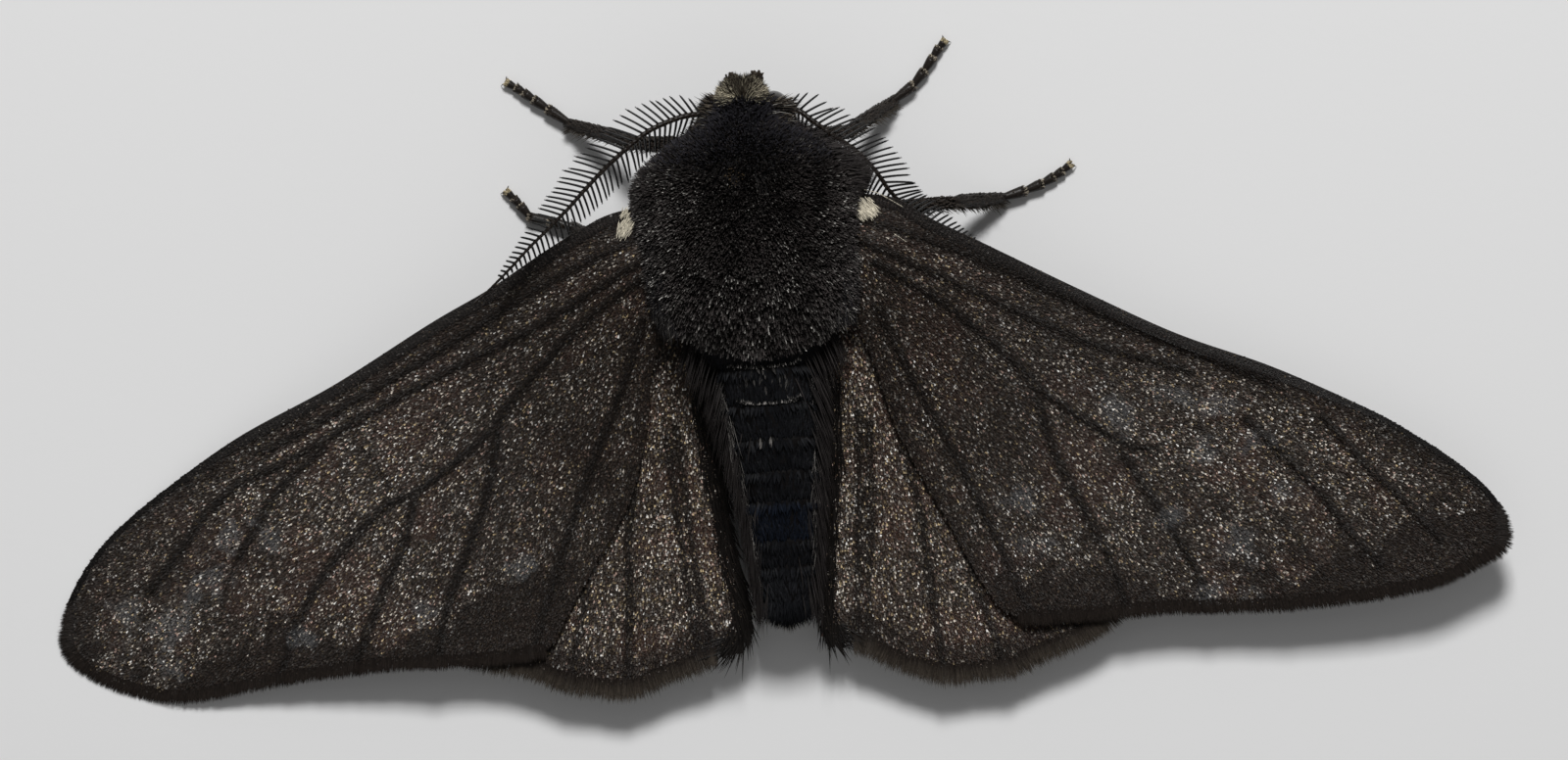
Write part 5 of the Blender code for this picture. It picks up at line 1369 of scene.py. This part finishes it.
def footParts(joints, seed):
    # The foot has five joints, each widest near its end, with a narrow pale ring there
    look = legLook
    blocks = []
    for joint, (start, end) in enumerate(zip(joints, joints[1:])):
        thick, last = look["tarsus"][joint], joint == len(look["tarsus"]) - 1
        line, radii = limb(start, start + (end - start) * 0.97, thick * 0.7, thick * 0.9, thick * 1.12, 12)
        blocks.append(tube(line, radii, 12, look["dark"]))
        count = int(420 * np.linalg.norm(end - start)) + 90
        # The coat draws its places along the joint first, so the same draws tell which scales are pale
        placed = np.random.default_rng(seed + joint).random((count, 1))
        tint = np.where(placed > (0.55 if last else 0.9), look["foot" if last else "ring"], look["scale"])
        blocks.append(tubeCoat(line, radii, count, 0.13, 0.065, seed + joint, tint * 0.5, tint, legSpot,
                               lift=0.12))
    # Two small hooked claws
    along = unit(end - start)
    side = unit(np.cross(along, (0, 0, 1.0)))
    for way in (-1, 1):
        hook = smoothLine((end, end + along * 0.1 + side * 0.09 * way + (0, 0, 0.04),
                           end + along * 0.16 + side * 0.19 * way - (0, 0, end[2] - 0.03)), 12)
        blocks.append(tube(hook, np.linspace(0.04, 0.008, 12), 8, look["claw"]))
    return blocks


def spurs(knee, ankle, places):
    blocks = []
    shin = unit(ankle - knee)
    for place in places:
        for way in (-1, 1):
            root = knee + (ankle - knee) * place
            end = root + shin * 0.5 + unit(np.cross(shin, (0, 0, 1.0))) * 0.2 * way
            end[2] = max(end[2], 0.08)
            line = smoothLine((root, (root + end) / 2 + (0, 0, 0.03), end), 10)
            blocks.append(tube(line, np.linspace(0.06, 0.012, 10), 8, legLook["scale"]))
    return blocks


def legHair(trochanter, knee, ankle, rear, seed):
    # A fringe of long hair trails from the rear side of the shin and thigh, clear of the floor
    look = legLook
    random = np.random.default_rng(seed)
    count = look["hairs"]
    onShin = random.random((count, 1)) < look["hairOnShin"]
    share = random.random((count, 1))
    root = np.where(onShin, knee + (ankle - knee) * share * 0.92,
                    trochanter + (knee - trochanter) * (0.35 + 0.65 * share))
    run = np.where(onShin, unit(ankle - knee), unit(knee - trochanter))
    heading = run * random.normal(1.1, 0.25, (count, 1)) + rear * random.normal(0.8, 0.25, (count, 1))
    heading = unit(heading + random.normal(0, 0.1, (count, 3)))
    length = random.normal(0.52, 0.12, count).clip(0.2, 0.8)
    low = root[:, 2] + heading[:, 2] * length < look["lowestHair"]
    heading[low, 2] = (look["lowestHair"] - root[low, 2]) / length[low]
    shade = uneven(random, count, 0.3, 0.4, 1.8)[:, None]
    up = np.broadcast_to((0, 0, 1.0), root.shape)
    return hairs(root, heading, up, length, 0.032, legSpot(root), look["hair"] * shade,
                 look["hairTip"] * shade, rings=(0.8, 1.0, 0.7))


def buildLeg(name, number):
    look, pair = legLook, name.split("_")[1]
    spots = [np.array(spot, float) for spot in legs[name]]
    coxa, trochanter, knee, ankle = spots[:4]
    parts = (limb(coxa, trochanter, look["coxa"], look["coxa"], look["coxa"] * 0.7),
             limb(trochanter, knee, look["femur"] * 0.8, look["femur"] * 1.1, look["femur"] * 0.7),
             limb(knee, ankle, look["tibia"], look["tibia"], look["tibia"] * 0.7))
    blocks = []
    for step, (line, radii) in enumerate(parts):
        blocks.append(tube(line, radii, 14, look["dark"]))
        blocks.append(tubeCoat(line, radii, look["limbScales"][step], 0.22, 0.09, 70 + number * 10 + step,
                               look["dark"], look["scale"], legSpot, lift=0.16))
    blocks += footParts(spots[3:], 170 + number * 10) + spurs(knee, ankle, spurPlaces[pair])
    addPiece(name + "_limb", joined(blocks), hornCuticle, (name,))
    outward, back = (0.6, -0.8) if pair == "fore" else (0.12, -1.0)
    rear = np.array((outward * np.sign(knee[0]), back, -0.05))
    addPiece(name + "_hair", legHair(trochanter, knee, ankle, rear, 270 + number), furScale,
             smooth=False)


for number, name in enumerate(legs):
    buildLeg(name, number)
print("legs done")

# White spots at the wing roots, and painted highlights along the costa and a vein

# Spot outlines, and painted highlights as lines of single pale scales, as distances out from the midline
rootSpots = {
    "left": (((4.6, 0.22), (4.38, 0.0), (4.1, 0.38), (4.2, 0.6), (4.48, 0.55)),
             ((4.45, 0.75), (4.25, 0.78), (4.32, 1.0))),
    "right": (((3.35, 0.85), (3.62, 0.98), (3.98, 0.85), (4.05, 0.5), (3.72, 0.28), (3.35, 0.4)),),
    "highlightStreaks": (((3.68, 1.18), (4.17, 1.04), (4.55, 0.84), (5.0, 0.56)), ((4.65, -0.33), (4.97, -0.58))),
    "perArea": 900, "perLength": 30, "lie": {"left": (-0.55, 0.8), "right": (0.55, -0.8)},
    "cream": linear("#ece3cd")}


def rootSpot(word, outline, random):
    low, high = outline.min(0) - 0.05, outline.max(0) + 0.05
    places = random.uniform(low, high, (int(rootSpots["perArea"] * np.prod(high - low)), 2))
    places = places[insideOf(places + random.normal(0, 0.06, places.shape), outline)]
    count = len(places)
    heading = unit(np.array(rootSpots["lie"][word]) + random.normal(0, 0.2, (count, 2)))
    root, along, normal = onWing(wings["forewing_" + word], places, heading)
    root = root + normal * (0.06 + 0.12 * random.random((count, 1)))
    tint = rootSpots["cream"] * random.normal(0.85, 0.2, count).clip(0.3, 1.0)[:, None]
    length = random.normal(0.28, 0.06, count)
    return hairs(root, unit(along + normal * 0.15), normal, length, 0.036, wingSpot(places),
                 tint * 0.6, tint, bend=-0.1)


# A painted highlight drawn as a line of single cream scales lying along it
def highlightStreak(course, random):
    count = int(lengthOf(np.array(course)) * rootSpots["perLength"])
    line = smoothLine(course, count + 1)
    root, along, normal = onWing(wings["forewing_right"], line[:-1], unit(np.diff(line, axis=0)))
    tint = rootSpots["cream"] * random.normal(0.6, 0.3, count).clip(0.03, 1.0)[:, None]
    return hairs(root + normal * 0.12, unit(along + normal * 0.08), normal, 0.14, 0.022,
                 wingSpot(line[:-1]), tint, tint)


def buildRootSpots():
    random = np.random.default_rng(81)
    spots = [rootSpot(word, np.array(outline), random) for word in ("left", "right")
             for outline in rootSpots[word]]
    return joined(spots + [highlightStreak(course, random) for course in rootSpots["highlightStreaks"]])


addPiece("white_root_spots_and_highlights", buildRootSpots(), wingScale, smooth=False)
print("white spots done")

# Floor, light and camera

# Sizes and places here are metres, and each lamp has its power in watts
studio = {"floor": "#e8e8e8", "floorSize": 0.6, "sky": 0.155,
          "lamps": {"key": {"power": 1.4, "size": 0.09, "at": (0.03, 0.26, 0.30)},
                    "fill": {"power": 0.05, "size": 0.3, "at": (0.0, -0.2, 0.28)}}}


def boardMaterial():
    material, tree = newMaterial("pale matt board")
    place = addNode(tree, "ShaderNodeTexCoord")
    grain = addNode(tree, "ShaderNodeTexNoise", {"Scale": perMetre(0.4), "Detail": 4.0},
                    {"Vector": place.outputs["Object"]})
    bump = addNode(tree, "ShaderNodeBump", {"Strength": 0.12, "Distance": 0.02 * mm},
                   {"Height": grain.outputs[0]})
    shader = addNode(tree, "ShaderNodeBsdfPrincipled",
                     {"Base Color": (*linear(studio["floor"]), 1), "Roughness": 0.9},
                     {"Normal": bump.outputs[0]})
    addNode(tree, "ShaderNodeOutputMaterial", None, {"Surface": shader.outputs[0]})
    return material


def buildStudio():
    bpy.ops.mesh.primitive_plane_add(size=studio["floorSize"])
    floor = bpy.context.object
    floor.name = "floor"
    floor.data.materials.append(boardMaterial())
    for name, look in studio["lamps"].items():
        lamp = bpy.data.lights.new(name, "AREA")
        lamp.energy, lamp.size = look["power"], look["size"]
        thing = bpy.data.objects.new(name, lamp)
        thing.location = look["at"]
        bpy.context.scene.collection.objects.link(thing)
        x, y, z = look["at"]
        thing.rotation_euler = (math.atan2(math.hypot(x, y), z), 0, math.atan2(x, -y))
    world = bpy.data.worlds.new("studio")
    world.use_nodes = True
    world.node_tree.nodes["Background"].inputs["Color"].default_value = (1, 1, 1, 1)
    world.node_tree.nodes["Background"].inputs["Strength"].default_value = studio["sky"]
    bpy.context.scene.world = world
    bpy.context.scene.view_settings.view_transform = "Standard"


# The photo looks straight down, with the moth turned four degrees in it. middle and across are
# millimetres at the height of the wings, the heights are metres
view = {"middle": (0.483, -0.291), "across": 53.33, "height": 0.25, "wingPlane": 0.002, "turn": -4.0,
        "sensor": 36.0}


def buildCamera():
    camera = bpy.data.cameras.new("camera")
    camera.sensor_width = view["sensor"]
    camera.lens = view["sensor"] * view["height"] / (view["across"] * mm)
    camera.clip_start, camera.clip_end = 0.01, 10
    thing = bpy.data.objects.new("camera", camera)
    x, y = view["middle"]
    thing.location = (x * mm, y * mm, view["height"] + view["wingPlane"])
    thing.rotation_euler = (0, 0, math.radians(view["turn"]))
    bpy.context.scene.collection.objects.link(thing)
    bpy.context.scene.camera = thing


buildStudio()
buildCamera()
print("studio and camera done")
